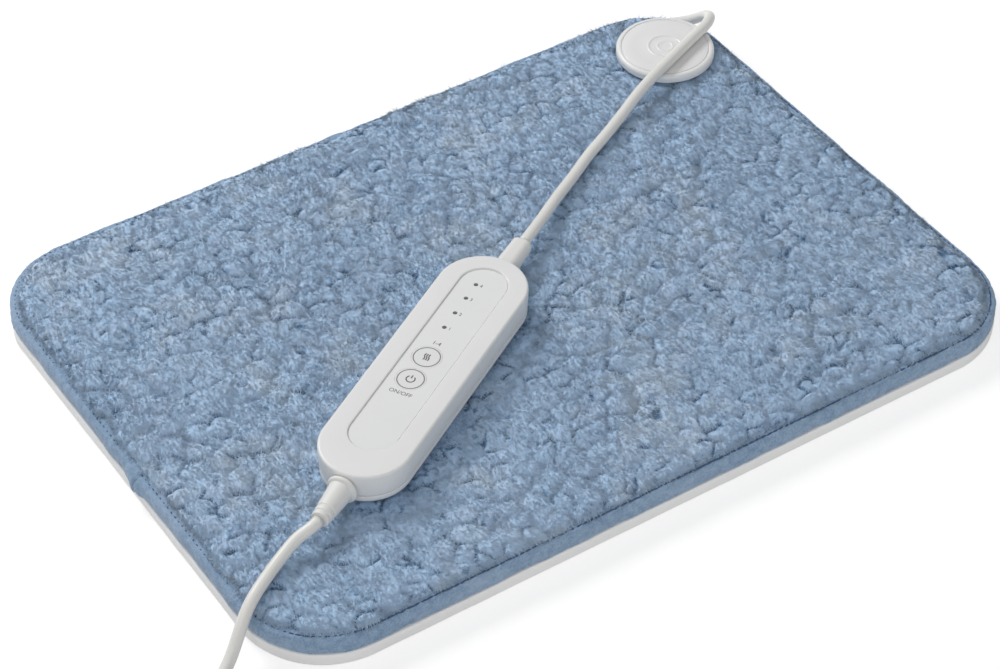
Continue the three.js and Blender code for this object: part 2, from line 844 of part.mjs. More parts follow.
// Plug of the pad lead, in two shells that part at the axis
function makeLeadPlug() {
  const white = material(0xe9e9e9, 0.45);
  const bodyFront = padDepth / 2 + gap;
  const bodyMiddle = bodyFront + leadPlugDepth / 2;
  const bodyBack = bodyFront + leadPlugDepth;
  const bodyLeft = socketX - leadPlugWidth / 2;
  const bodyRight = socketX + leadPlugWidth / 2;
  const noseFront = cavityBack + gap;
  const outline = (inset) => roundedOutline(
    leadPlugHeight - 2 * inset,
    leadPlugDepth - 2 * inset,
    leadPlugRound,
  );
  const body = alongX(stack(outline, [
    [leadPlugWall / 2, 0],
    [0, leadPlugWall / 2],
    [0, leadPlugWidth - leadPlugWall / 2],
    [leadPlugWall / 2, leadPlugWidth],
  ]));
  body.translate(bodyLeft, bodyMiddle, socketAxisHeight);
  let shell = solidOf(body).add(block(
    socketX - noseWidth / 2,
    socketX + noseWidth / 2,
    noseFront,
    bodyMiddle,
    socketAxisHeight - noseHeight / 2,
    socketAxisHeight + noseHeight / 2,
  ));
  shell = shell.subtract(block(
    socketX - noseInnerWidth / 2,
    socketX + noseInnerWidth / 2,
    noseFront - cutOver,
    bodyBack - leadPlugWall,
    socketAxisHeight - noseInnerHeight / 2,
    socketAxisHeight + noseInnerHeight / 2,
  ));
  const neckStart = bodyRight - leadPlugEndWall;
  const collarStart = neckStart - leadBootCollarLength - 2 * gap;
  const boreAlong = (radius, x0, x1) => {
    const bore = new THREE.CylinderGeometry(radius, radius, x1 - x0, smallSides);
    bore.rotateZ(Math.PI / 2);
    bore.translate((x0 + x1) / 2, bodyMiddle, socketAxisHeight);
    return solidOf(bore);
  };
  shell = shell.subtract(boreAlong(leadBootCollarRadius + gap, collarStart, neckStart));
  shell = shell.subtract(boreAlong(leadBootNeckRadius + gap, collarStart, bodyRight + cutOver));
  const far = leadPlugWidth;
  const upperHalf = block(
    socketX - far,
    socketX + far,
    noseFront - cutOver,
    bodyBack + cutOver,
    socketAxisHeight + gap / 2,
    socketAxisHeight + far,
  );
  const lowerHalf = block(
    socketX - far,
    socketX + far,
    noseFront - cutOver,
    bodyBack + cutOver,
    socketAxisHeight - far,
    socketAxisHeight - gap / 2,
  );
  addPiece(object, 'lead_plug_upper_shell', shell.intersect(upperHalf), white);
  addPiece(object, 'lead_plug_lower_shell', shell.intersect(lowerHalf), white);

  const floor = socketAxisHeight - noseInnerHeight / 2;
  contactPlaces.forEach((place, i) => {
    const x = socketX + place * contactSpacing;
    const strip = block(
      x - leadPlugContactWidth / 2,
      x + leadPlugContactWidth / 2,
      noseFront + gap,
      noseFront + gap + leadPlugContactLength,
      floor + gap / 2,
      floor + gap / 2 + leadPlugContactHeight,
    );
    addPiece(object, `lead_plug_contact_${i + 1}`, strip, material(0xd6b25e, 0.3, 1));
  });

  const boot = alongX(turned([
    [0, 0],
    [leadBootCollarRadius, 0],
    [leadBootCollarRadius, leadBootCollarLength],
    [leadBootNeckRadius, leadBootCollarLength],
    [leadBootNeckRadius, leadBootCollarLength + leadPlugEndWall + 2 * gap],
    [leadBootRadius, leadBootCollarLength + leadPlugEndWall + 2 * gap],
    [leadBootTipRadius, leadBootCollarLength + leadPlugEndWall + leadBootLength],
    [0, leadBootCollarLength + leadPlugEndWall + leadBootLength],
  ], smallSides));
  boot.translate(neckStart - leadBootCollarLength - gap, bodyMiddle, socketAxisHeight);
  addPiece(object, 'lead_plug_boot', boot, material(0xe4e3df, 0.6));
}

// Controller, built along X and then turned into place
function makeController() {
  const controller = new THREE.Group();
  controller.position.set(controllerX, controllerY, 0);
  controller.rotation.z = controllerYaw;
  object.add(controller);
  const white = material(0xe8e8e8, 0.4);
  const outline = (inset) => stadiumOutline(controllerLength - 2 * inset, controllerWidth - 2 * inset);
  const panelOutline = (inset) => stadiumOutline(panelLength - 2 * inset, panelWidth - 2 * inset);
  const buttonY = controllerWidth * buttonAcrossShare;
  const ledY = controllerWidth * ledAcrossShare;
  const heatX = controllerLength * heatButtonAlongShare;
  const buttonXs = [heatX - buttonSpacing, heatX];
  const ledXs = ledAlongShares.map((share) => controllerLength * share);
  const screws = [lowerScrewX, upperScrewX].map((x, i) => [x, controllerWidth * screwAcrossShares[i]]);
  const endBore = (radius) => {
    const bore = new THREE.CylinderGeometry(radius, radius, controllerLength + cutOver, buttonSides);
    bore.rotateZ(Math.PI / 2);
    bore.translate(0, 0, reliefHeight);
    return solidOf(bore);
  };

  // Bottom shell with board pegs and screw posts
  const seamLow = seamHeight - gap / 2;
  let bottom = solidOf(stack(outline, [
    ...edgeRound(controllerDraft, controllerBottom, controllerBottomRound, true),
    [controllerDraft, seamLow],
  ]));
  bottom = bottom.subtract(solidOf(stack(outline, [
    [controllerDraft + shellWall + controllerBottomRound / 2, controllerBottom + shellWall],
    [controllerDraft + shellWall, controllerBottom + controllerBottomRound],
    [controllerDraft + shellWall, seamLow + cutOver],
  ])));
  const floor = controllerBottom + shellWall;
  const pegX = controllerLength * boardPegAlongShare;
  const pegY = controllerWidth * boardPegAcrossShare;
  [[-pegX, -pegY], [pegX, -pegY], [pegX, pegY], [-pegX, pegY]].forEach(([x, y]) => {
    bottom = bottom.add(rod(boardPegRadius, floor - gap, boardBottom - gap, x, y, cordSides));
  });
  const postTop = boardBottom - gap;
  screws.forEach(([x, y]) => {
    bottom = bottom.add(rod(screwPostRadius, floor - gap, postTop, x, y));
    bottom = bottom.subtract(rod(screwShankRadius + gap, controllerBottom, postTop + cutOver, x, y));
    const sinkTop = controllerBottom + screwSink + screwHeadHeight + gap;
    bottom = bottom.subtract(rod(screwHeadRadius + gap, controllerBottom - cutOver, sinkTop, x, y));
  });
  addPiece(controller, 'controller_bottom_shell', bottom, white);

  // Top shell with panel recess, button and light holes, screw posts and end holes
  const seamTop = seamHeight + gap / 2;
  let top = solidOf(stack(outline, [
    [controllerDraft, seamTop],
    [0, controllerTop - 2 * controllerTopRound],
    ...edgeRound(0, controllerTop, controllerTopRound, false),
  ]));
  const ceiling = controllerTop - shellWall;
  top = top.subtract(solidOf(stack(outline, [
    [controllerDraft + shellWall, seamTop - cutOver],
    [controllerDraft + shellWall, ceiling - controllerTopRound],
    [controllerDraft + shellWall + controllerTopRound, ceiling],
  ])));
  const seat = stack(panelOutline, [[-panelBevel, plateBottom], [-panelBevel, ceiling + gap]]);
  seat.translate(panelAlong, 0, 0);
  top = top.add(solidOf(seat));
  screws.forEach(([x, y]) => {
    const post = rod(screwPostRadius, postTop + gap, ceiling + gap, x, y);
    const pilot = rod(screwShankRadius + gap, postTop - cutOver, postTop + gap + screwBite + gap, x, y);
    top = top.add(post).subtract(pilot);
  });
  const recess = stack(panelOutline, [
    [-gap, panelBottom - gap],
    [-gap, panelTop - gap],
    [-panelBevel, controllerTop],
    [-panelBevel, controllerTop + cutOver],
  ]);
  recess.translate(panelAlong, 0, 0);
  top = top.subtract(solidOf(recess));
  const buttonHole = buttonRadius + buttonHoleGap;
  const lensHole = lensRadius + gap;
  buttonXs.forEach((x) => {
    top = top.subtract(rod(buttonHole, plateBottom - cutOver, controllerTop, x, buttonY, buttonSides));
  });
  ledXs.forEach((x) => {
    top = top.subtract(rod(lensHole, plateBottom - cutOver, controllerTop, x, ledY, cordSides));
  });
  const slotSide = reliefNeckRadius + gap;
  const slotEnd = controllerLength / 2 + cutOver;
  top = top.subtract(endBore(slotSide));
  top = top.subtract(block(-slotEnd, slotEnd, -slotSide, slotSide, seamHeight - cutOver, reliefHeight));
  addPiece(controller, 'controller_top_shell', top, white);

  // Panel let into the top
  const panelBody = stack(panelOutline, [[0, panelBottom], [0, panelTop]]);
  panelBody.translate(panelAlong, 0, 0);
  let panel = solidOf(panelBody);
  buttonXs.forEach((x) => {
    panel = panel.subtract(rod(buttonHole, plateBottom, controllerTop, x, buttonY, buttonSides));
  });
  ledXs.forEach((x) => {
    panel = panel.subtract(rod(lensHole, plateBottom, controllerTop, x, ledY, cordSides));
  });
  addPiece(controller, 'controller_panel', panel, material(0xe6e6e6, 0.5));

  makeButtons(controller, buttonXs, buttonY);
  makeLights(controller, ledXs, ledY);
  makeBoard(controller);
  screws.forEach(([x, y], i) => {
    const headBottom = controllerBottom + screwSink;
    const reach = postTop + gap + screwBite - headBottom - screwHeadHeight;
    const screw = screwGeometry(reach);
    screw.translate(x, y, headBottom);
    addPiece(controller, `housing_screw_${i + 1}`, screw, material(0xa8a8a8, 0.3, 1));
  });
  makeReliefs(controller);
}

// Buttons that press down on the switch plungers
function makeButtons(controller, buttonXs, buttonY) {
  const names = ['power', 'heat'];
  buttonXs.forEach((x, i) => {
    const button = turned([
      [0, flangeBottom],
      [buttonFlangeRadius, flangeBottom],
      [buttonFlangeRadius, flangeTop],
      [buttonRadius, flangeTop],
      [buttonRadius, panelTop - buttonRound],
      [buttonRadius - buttonRound, panelTop],
      [0, panelTop],
    ], buttonSides);
    button.translate(x, buttonY, 0);
    addPiece(controller, `${names[i]}_button`, button, material(0xe8e8e8, 0.45));

    const half = switchSize / 2;
    let body = block(x - half, x + half, buttonY - half, buttonY + half, boardTop + gap, switchTop);
    const wellFloor = switchTop - switchWellDepth;
    const wellRadius = switchPlungerRadius + gap;
    body = body.subtract(rod(wellRadius, wellFloor, switchTop + cutOver, x, buttonY));
    addPiece(controller, `${names[i]}_switch`, body, material(0x2b2b2b, 0.5));

    const plunger = turned([
      [0, switchTop - switchPlungerDip],
      [switchPlungerRadius, switchTop - switchPlungerDip],
      [switchPlungerRadius, plungerTop],
      [0, plungerTop],
    ], smallSides);
    plunger.translate(x, buttonY, 0);
    addPiece(controller, `${names[i]}_switch_plunger`, plunger, material(0x444444, 0.5));
  });
}

// Level lights: a light on the board and a lens that carries it to the panel
function makeLights(controller, ledXs, ledY) {
  ledXs.forEach((x, i) => {
    const lightTop = boardTop + gap + ledHeight;
    const lens = turned([
      [0, lightTop + gap],
      [lensRadius, lightTop + gap],
      [lensRadius, flangeTop - lensCollarHeight],
      [lensCollarRadius, flangeTop - lensCollarHeight],
      [lensCollarRadius, flangeTop],
      [lensRadius, flangeTop],
      [lensRadius, panelTop],
      [0, panelTop],
    ], cordSides);
    lens.translate(x, ledY, 0);
    addPiece(controller, `led_lens_${i + 1}`, lens, material(0x8e8e8e, 0.3));
    const light = block(
      x - ledLength / 2,
      x + ledLength / 2,
      ledY - ledWidth / 2,
      ledY + ledWidth / 2,
      boardTop + gap,
      lightTop,
    );
    addPiece(controller, `led_${i + 1}`, light, material(0xf2e9b0, 0.4));
  });
}

// Circuit board and its larger parts
function makeBoard(controller) {
  const side = controllerWidth / 2 - boardSideMargin;
  const board = block(boardStart, boardEnd, -side, side, boardBottom, boardTop);
  addPiece(controller, 'circuit_board', board, material(0x2f6a45, 0.5));
  const stand = boardTop + gap;
  const standing = (length, width, height, x, y) => block(
    x - length / 2,
    x + length / 2,
    y - width / 2,
    y + width / 2,
    stand,
    stand + height,
  );
  const sideY = controllerWidth * boardSideAcrossShare;
  const chipX = controllerLength * chipAlongShare;
  const triacX = controllerLength * triacAlongShare;
  const capacitorX = controllerLength * capacitorAlongShare;
  const chip = standing(chipLength, chipWidth, chipHeight, chipX, sideY);
  const triac = standing(triacLength, triacWidth, triacHeight, triacX, 0);
  const capacitor = standing(capacitorLength, capacitorWidth, capacitorHeight, capacitorX, -sideY);
  addPiece(controller, 'control_chip', chip, material(0x1d1d1d, 0.4));
  addPiece(controller, 'power_triac', triac, material(0x262626, 0.4));
  addPiece(controller, 'filter_capacitor', capacitor, material(0xc9a227, 0.5));
  const fuse = alongX(turned([
    [0, -fuseTubeLength / 2],
    [fuseTubeRadius, -fuseTubeLength / 2],
    [fuseTubeRadius, fuseTubeLength / 2],
    [0, fuseTubeLength / 2],
  ], cordSides));
  fuse.translate(controllerLength * fuseAlongShare, -sideY, stand + fuseTubeRadius);
  addPiece(controller, 'mains_fuse', fuse, material(0xcfd6d8, 0.2));
}

// Strain reliefs at the controller's two ends
function makeReliefs(controller) {
  const end = controllerLength / 2;
  const finish = material(0xe4e3df, 0.55);
  const inside = end - shellWall - reliefCollarSink;
  const outside = end + gap;
  const reliefCollarRadius = reliefNeckRadius + reliefCollarStep;
  const flangeEnd = outside + lowerFlangeLength;
  const slope = (lowerSleeveTipRadius - lowerSleeveRadius) / lowerSleeveLength;
  const profile = [
    [0, inside],
    [reliefCollarRadius, inside],
    [reliefCollarRadius, inside + reliefCollarLength],
    [reliefNeckRadius, inside + reliefCollarLength],
    [reliefNeckRadius, outside],
    [lowerFlangeRadius, outside],
    [lowerFlangeRadius, flangeEnd],
    [lowerSleeveRadius, flangeEnd],
  ];
  lowerGrooveShares.forEach((share) => {
    const along = lowerSleeveLength * share;
    const r = lowerSleeveRadius + slope * along;
    profile.push([r, flangeEnd + along - lowerGrooveWidth / 2]);
    profile.push([r - lowerGrooveDepth, flangeEnd + along - lowerGrooveWidth / 2]);
    profile.push([r - lowerGrooveDepth, flangeEnd + along + lowerGrooveWidth / 2]);
    profile.push([r, flangeEnd + along + lowerGrooveWidth / 2]);
  });
  profile.push([lowerSleeveTipRadius, flangeEnd + lowerSleeveLength]);
  profile.push([0, flangeEnd + lowerSleeveLength]);
  const lower = alongX(turned(profile, smallSides));
  lower.rotateZ(Math.PI);
  lower.translate(0, 0, reliefHeight);
  addPiece(controller, 'lower_strain_relief', lower, finish);

  const collar = alongX(turned([
    [0, inside],
    [reliefCollarRadius, inside],
    [reliefCollarRadius, inside + reliefCollarLength],
    [reliefNeckRadius, inside + reliefCollarLength],
    [reliefNeckRadius, outside + gap],
    [0, outside + gap],
  ], smallSides));
  collar.translate(0, 0, reliefHeight);
  const section = (width, height, x) => roundedOutline(height, width, upperStubRound)
    .map(([z, y]) => [x, y, reliefHeight - z]);
  const stub = skin([
    section(upperStubWidth, upperStubHeight, outside),
    section(upperStubTipWidth, upperStubTipHeight, outside + upperStubLength - upperStubRound / 2),
    section(
      upperStubTipWidth - upperStubRound / 2,
      upperStubTipHeight - upperStubRound / 2,
      outside + upperStubLength,
    ),
  ]);
  addPiece(controller, 'upper_strain_relief', solidOf(collar).add(solidOf(stub)), finish);
}

// Coil: spirals in on the floor, climbs in the half turn where it reverses, spirals out on top.
// It starts one cord diameter past the end of the mains lead.
const [leadEndX, leadEndY] = mainsLeadRoute[mainsLeadRoute.length - 1];
const coilX = leadEndX + (cordDiameter + gap) * Math.cos(coilHeading)
  - coilOuterRadius * Math.cos(coilStartAngle);
const coilY = leadEndY + (cordDiameter + gap) * Math.sin(coilHeading)
  - coilOuterRadius * Math.sin(coilStartAngle);

function coilPoint(turns) {
  const within = turns / coilLayerTurns;
  const layer = Math.min(Math.floor(within), coilLayers - 1);
  const share = within - layer;
  const inward = layer % 2 === 0;
  const span = coilOuterRadius - coilInnerRadius;
  const radius = inward ? coilOuterRadius - span * share : coilInnerRadius + span * share;
  let height = coilBottomHeight + layer * coilPitch;
  for (let k = 1; k < coilLayers; k += 1) {
    const past = turns - k * coilLayerTurns;
    if (Math.abs(past) < 1 / 4) {
      const climb = (1 + Math.sin(past * 2 * Math.PI)) / 2;
      height = coilBottomHeight + (k - 1 + climb) * coilPitch;
    }
  }
  const angle = coilStartAngle + turns * 2 * Math.PI;
  return new THREE.Vector3(
    coilX + radius * Math.cos(angle),
    coilY + radius * Math.sin(angle),
    height,
  );
}

function makeCoil() {
  const steps = Math.ceil(coilTurns * loopSteps);
  const path = [];
  for (let i = 0; i <= steps; i += 1) {
    path.push(coilPoint(coilTurns * i / steps));
  }
  const startWay = new THREE.Vector3(Math.cos(coilHeading), Math.sin(coilHeading), 0);
  const endWay = new THREE.Vector3(Math.cos(tailHeading), Math.sin(tailHeading), 0);
  const tangents = path.map((point, i) => {
    const before = path[Math.max(i - 1, 0)];
    const after = path[Math.min(i + 1, steps)];
    return new THREE.Vector3().subVectors(after, before).normalize();
  });
  tangents[0] = startWay;
  tangents[steps] = endWay;
  path.unshift(path[0].clone().addScaledVector(startWay, -cordDiameter));
  tangents.unshift(startWay);
  path.push(path[path.length - 1].clone().addScaledVector(endWay, cordDiameter));
  tangents.push(endWay);
  addPiece(object, 'mains_coil', sweep(path, tangents, cordRadius, loopSides), material(0xe6e5e1, 0.5));

  // Least gap between turns, measured on points at least half a turn apart
  let least = Infinity;
  path.forEach((a, i) => {
    for (let k = i + loopSteps / 2; k < path.length; k += 1) {
      least = Math.min(least, a.distanceTo(path[k]) - cordDiameter);
    }
  });
  console.log(`least gap between the coil's turns: ${least.toFixed(2)} mm`);

  const inner = coilInnerRadius - cordRadius - 2 * gap;
  const outer = coilOuterRadius + cordRadius + 2 * gap;
  const low = tieThickness;
  const high = coilTopHeight + cordRadius + gap;
  const outside = block(
    inner - tieThickness,
    outer + tieThickness,
    -tieWidth / 2,
    tieWidth / 2,
    0,
    high + tieThickness,
  );
  const room = block(inner, outer, -tieWidth, tieWidth, low, high);
  const tie = addPiece(object, 'coil_tie', outside.subtract(room), material(0xd7d6d2, 0.7));
  tie.position.set(coilX, coilY, 0);
  tie.rotation.z = coilStartAngle + tieTurn;
}

// Two-pin mains plug with its boot, lying at the end of the coil's tail
function makeMainsPlug(start) {
  const plug = new THREE.Group();
  plug.position.set(start.x, start.y, plugAxisHeight);
  plug.rotation.z = tailHeading;
  object.add(plug);
  const boot = alongX(turned([
    [0, 0],
    [mainsBootTipRadius, 0],
    [mainsBootRadius, mainsBootLength],
    [0, mainsBootLength],
  ], smallSides));
  addPiece(plug, 'mains_plug_boot', boot, material(0xe4e3df, 0.6));

  const bodyStart = mainsBootLength + gap;
  const shoulder = bodyStart + mainsPlugLength / 2;
  const face = bodyStart + mainsPlugLength;
  const section = (width, height, x) => roundedOutline(height, width, mainsPlugRound)
    .map(([z, y]) => [x, y, -z]);
  let body = solidOf(skin([
    section(mainsPlugNeckWidth, mainsPlugNeckHeight, bodyStart),
    section((mainsPlugNeckWidth + mainsPlugWidth) / 2, mainsPlugHeight, (bodyStart + shoulder) / 2),
    section(mainsPlugWidth, mainsPlugHeight, shoulder),
    section(mainsPlugWidth, mainsPlugHeight, face),
  ]));
  [-1, 1].forEach((place, i) => {
    const y = place * pinSpacing / 2;
    const bore = new THREE.CylinderGeometry(pinRadius + gap, pinRadius + gap, 2 * pinRoot, smallSides);
    bore.rotateZ(Math.PI / 2);
    bore.translate(face, y, 0);
    body = body.subtract(solidOf(bore));
    const pin = alongX(turned([
      [0, face - pinRoot + gap],
      [pinRadius, face - pinRoot + gap],
      [pinRadius, face + pinLength - pinTipRound],
      [pinRadius - pinTipRound, face + pinLength],
      [0, face + pinLength],
    ], smallSides));
    pin.translate(0, y, 0);
    addPiece(plug, `mains_plug_pin_${i + 1}`, pin, material(0xc9b27a, 0.25, 1));
  });
  addPiece(plug, 'mains_plug_body', body, material(0xe9e9e9, 0.5));
}

function makeCords() {
  const finish = material(0xe6e5e1, 0.5);
  addPiece(object, 'pad_lead', cordGeometry(padLeadRoute), finish);
  addPiece(object, 'mains_lead', cordGeometry(mainsLeadRoute), finish);
  makeCoil();
  const way = new THREE.Vector3(Math.cos(tailHeading), Math.sin(tailHeading), 0);
  const from = coilPoint(coilTurns).addScaledVector(way, cordDiameter + gap);
  const to = from.clone().addScaledVector(way, tailLength).setZ(plugAxisHeight);
  const third = tailLength / 3;
  const tail = [
    from,
    from.clone().addScaledVector(way, third),
    to.clone().addScaledVector(way, -third),
    to,
  ];
  addPiece(object, 'mains_tail', cordGeometry(tail.map((p) => p.toArray())), finish);
  makeMainsPlug(to.clone().addScaledVector(way, gap));
}

makePad();
makeHeater();
makeConnector();
makeLeadPlug();
makeController();
makeCords();

export default object;
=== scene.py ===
import math

import bpy
import numpy as np
from mathutils import Matrix, Vector
from mathutils.geometry import delaunay_2d_cdt


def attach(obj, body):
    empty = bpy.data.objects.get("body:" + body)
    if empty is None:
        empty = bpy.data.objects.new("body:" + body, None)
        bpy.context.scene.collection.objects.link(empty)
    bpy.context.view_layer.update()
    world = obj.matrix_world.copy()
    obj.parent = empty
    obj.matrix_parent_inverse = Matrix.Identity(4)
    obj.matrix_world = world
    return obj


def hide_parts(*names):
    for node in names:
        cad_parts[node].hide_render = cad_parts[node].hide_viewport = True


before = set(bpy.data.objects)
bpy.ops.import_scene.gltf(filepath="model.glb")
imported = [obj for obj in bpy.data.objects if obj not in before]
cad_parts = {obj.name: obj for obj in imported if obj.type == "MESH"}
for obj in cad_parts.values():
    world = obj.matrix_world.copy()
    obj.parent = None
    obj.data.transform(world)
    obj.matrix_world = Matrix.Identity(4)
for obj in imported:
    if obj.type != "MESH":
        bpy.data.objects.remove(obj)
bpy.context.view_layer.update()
mm = 0.001
print("Frame loaded:", len(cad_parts), "nodes")


# Camera

view = {
    "azimuth": -33.13,  # degrees round from straight in front
    "elevation": 43.19,
    "distance": 1.40061,
    "target": (-0.01111, -0.01467, 0.007),
    "lens": 108.36,
    "sensor": 36,
}


def directionTo(azimuth, elevation):
    # Unit vector from the object towards a bearing and a height in degrees
    a, e = math.radians(azimuth), math.radians(elevation)
    return Vector((math.sin(a) * math.cos(e), -math.cos(a) * math.cos(e), math.sin(e)))


def lookAlong(obj, spot, back):
    # The object's own Z axis lies along back, its X axis stays level
    right = Vector((0, 0, 1)).cross(back).normalized()
    up = back.cross(right)
    turn = Matrix((right, up, back)).transposed().to_4x4()
    obj.matrix_world = Matrix.Translation(spot) @ turn


def makeCamera(values):
    # It looks at the target from its bearing, height and distance
    data = bpy.data.cameras.new("photoCamera")
    data.lens = values["lens"]
    data.sensor_width = values["sensor"]
    data.clip_start, data.clip_end = 0.05, 30
    camera = bpy.data.objects.new("photoCamera", data)
    bpy.context.scene.collection.objects.link(camera)
    back = directionTo(values["azimuth"], values["elevation"])
    lookAlong(camera, Vector(values["target"]) + back * values["distance"], back)
    bpy.context.scene.camera = camera


makeCamera(view)


# Meshes out of numpy arrays


def unit(vectors):
    # Each vector over its own length
    return vectors / np.maximum(np.linalg.norm(vectors, axis=-1, keepdims=True), 1e-9)


def level(x, y):
    # Vectors that lie flat: x, y and nothing upwards
    return np.stack([x, y, 0 * x], -1)


def stepLengths(line):
    # From each point of a line to the next
    return np.linalg.norm(np.diff(line, axis=0), axis=1)


def summed(steps):
    # Running total of the steps, from 0
    return np.concatenate([[0], np.cumsum(steps)])


def meshOf(name, points, faceSets):
    # One mesh from whole arrays: a row of coordinates per point, a row of corner numbers per face
    corners = np.concatenate([faces.ravel() for faces in faceSets])
    sizes = np.concatenate([np.full(len(faces), faces.shape[1]) for faces in faceSets])
    mesh = bpy.data.meshes.new(name)
    mesh.vertices.add(len(points))
    mesh.vertices.foreach_set("co", np.asarray(points, np.float32).ravel())
    mesh.loops.add(len(corners))
    mesh.polygons.add(len(sizes))
    mesh.polygons.foreach_set("loop_start", summed(sizes)[:-1].astype(np.int32))
    mesh.polygons.foreach_set("vertices", corners.astype(np.int32))
    mesh.update(calc_edges=True)
    mesh.validate()
    return mesh


def outwardSkin(points, faceSets):
    # Sum of the volumes between each face and the origin; a negative sum turns every face round
    total = 0.0
    for faces in faceSets:
        at = points[faces]
        for k in range(1, faces.shape[1] - 1):
            total += float(np.sum(at[:, 0] * np.cross(at[:, k], at[:, k + 1])))
    return points, faceSets if total > 0 else [faces[:, ::-1] for faces in faceSets]


def gridFaces(rows, columns, closeRows=False, closeColumns=False):
    # Four corner numbers between each point of a rows by columns grid and its next neighbours
    r = np.arange(rows if closeRows else rows - 1)[:, None]
    c = np.arange(columns if closeColumns else columns - 1)[None, :]
    below, beside = (r + 1) % rows, (c + 1) % columns
    quads = [r * columns + c, r * columns + beside, below * columns + beside, below * columns + c]
    return np.stack(np.broadcast_arrays(*quads), -1).reshape(-1, 4)


def place(name, skin, body, slotName, *nodes, sharpAngle=None, finish=None):
    # A finished piece from a skin, its points in metres and its faces: smooth shaded, riding on its
    # body with its slot's finish or its own, in place of its CAD nodes
    obj = bpy.data.objects.new(name, meshOf(name, *skin))
    bpy.context.scene.collection.objects.link(obj)
    obj.data.shade_smooth()
    if sharpAngle is not None:
        obj.data.set_sharp_from_angle(angle=math.radians(sharpAngle))
    obj.data.materials.append(finishes[finish or slotName])
    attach(obj, body)
    if nodes:
        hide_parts(*nodes)
    return obj


def closedSkin(rings, loop=False):
    # Rings of points (rows, columns, 3) joined into one skin: a loop, or its ends closed by flat faces
    rows, columns = rings.shape[:2]
    faceSets = [gridFaces(rows, columns, loop, True)]
    if not loop:
        faceSets += [np.arange(columns)[None, ::-1], (rows - 1) * columns + np.arange(columns)[None, :]]
    return outwardSkin(rings.reshape(-1, 3), faceSets)


def smoothStep(t):
    # 0 to 1 with level ends: 3t^2 - 2t^3
    t = np.clip(t, 0, 1)
    return t * t * (3 - 2 * t)


# Cords: their routes in metres

cord = {
    "diameter": 0.0056,
    "sides": 20,
    "step": 0.0016,  # between rings
    "perStretch": 24,  # points between two places of a route
    "perTurn": 60,
    "coilCentre": (-0.23597, -0.18567),
    "coilStart": 120.6,  # degrees
    "coilTurns": 7.415,
    "coilLayers": 2,
    "coilOuter": 0.044815,
    "coilInner": 0.022385,
    "coilBottom": 0.0037,
    "coilPitch": 0.00605,
    "tailEnd": (-0.20007, -0.23049, 0.00715),
}

padLeadRoute = [
    (0.01933, 0.0120, 0.02925), (0.0279, 0.0171, 0.0289), (0.0393, 0.0250, 0.0268),
    (0.0547, 0.0356, 0.0246), (0.0702, 0.0450, 0.0235), (0.0850, 0.0539, 0.0234),
    (0.1001, 0.0617, 0.0235), (0.1148, 0.0692, 0.0244), (0.1284, 0.0756, 0.0268),
    (0.1390, 0.0804, 0.0279), (0.1542, 0.0872, 0.0280), (0.1750, 0.0961, 0.0280),
    (0.1840, 0.0998, 0.0280), (0.1900, 0.1024, 0.0278), (0.1954, 0.1060, 0.0270),
    (0.1996, 0.1110, 0.0246), (0.2020, 0.1170, 0.0204), (0.2027, 0.1235, 0.0149),
    (0.2014, 0.1298, 0.0096), (0.1983, 0.1355, 0.0059), (0.1948, 0.1392, 0.0042),
    (0.1882, 0.1438, 0.0032), (0.1806, 0.1470, 0.0031), (0.1724, 0.1489, 0.0041),
    (0.1665, 0.1492, 0.0053), (0.1631, 0.1492, 0.0056),
]

mainsLeadRoute = [
    (-0.1523, -0.0895, 0.02925), (-0.1570, -0.0909, 0.0288), (-0.1642, -0.0914, 0.0268),
    (-0.1720, -0.0939, 0.0246), (-0.1793, -0.0974, 0.0235), (-0.1856, -0.1012, 0.0233),
    (-0.1914, -0.1047, 0.0229), (-0.1972, -0.1083, 0.0213), (-0.2022, -0.1116, 0.0184),
    (-0.2072, -0.1150, 0.0137), (-0.2121, -0.1182, 0.0089), (-0.2171, -0.1215, 0.0060),
    (-0.2221, -0.1249, 0.0044), (-0.2279, -0.1288, 0.0034), (-0.2366, -0.1340, 0.0033),
    (-0.2459, -0.1395, 0.0035), (-0.2537, -0.1441, 0.0037),
]


def throughPoints(route):
    # Centripetal Catmull-Rom: each stretch blends the lines through four neighbouring points,
    # timed by the square roots of their distances
    p = np.asarray(route, float)
    p = np.vstack([2 * p[0] - p[1], p, 2 * p[-1] - p[-2]])
    knots = summed(np.sqrt(stepLengths(p)))
    p0, p1, p2, p3 = p[:-3, None], p[1:-2, None], p[2:-1, None], p[3:, None]
    k0, k1, k2, k3 = (knots[i:len(knots) - 3 + i, None, None] for i in range(4))
    t = k1 + (k2 - k1) * np.linspace(0, 1, cord["perStretch"], endpoint=False)[None, :, None]
    a1 = (k1 - t) / (k1 - k0) * p0 + (t - k0) / (k1 - k0) * p1
    a2 = (k2 - t) / (k2 - k1) * p1 + (t - k1) / (k2 - k1) * p2
    a3 = (k3 - t) / (k3 - k2) * p2 + (t - k2) / (k3 - k2) * p3
    b1 = (k2 - t) / (k2 - k0) * a1 + (t - k0) / (k2 - k0) * a2
    b2 = (k3 - t) / (k3 - k1) * a2 + (t - k1) / (k3 - k1) * a3
    line = ((k2 - t) / (k2 - k1) * b1 + (t - k1) / (k2 - k1) * b2).reshape(-1, 3)
    return np.vstack([line, p[-2]])


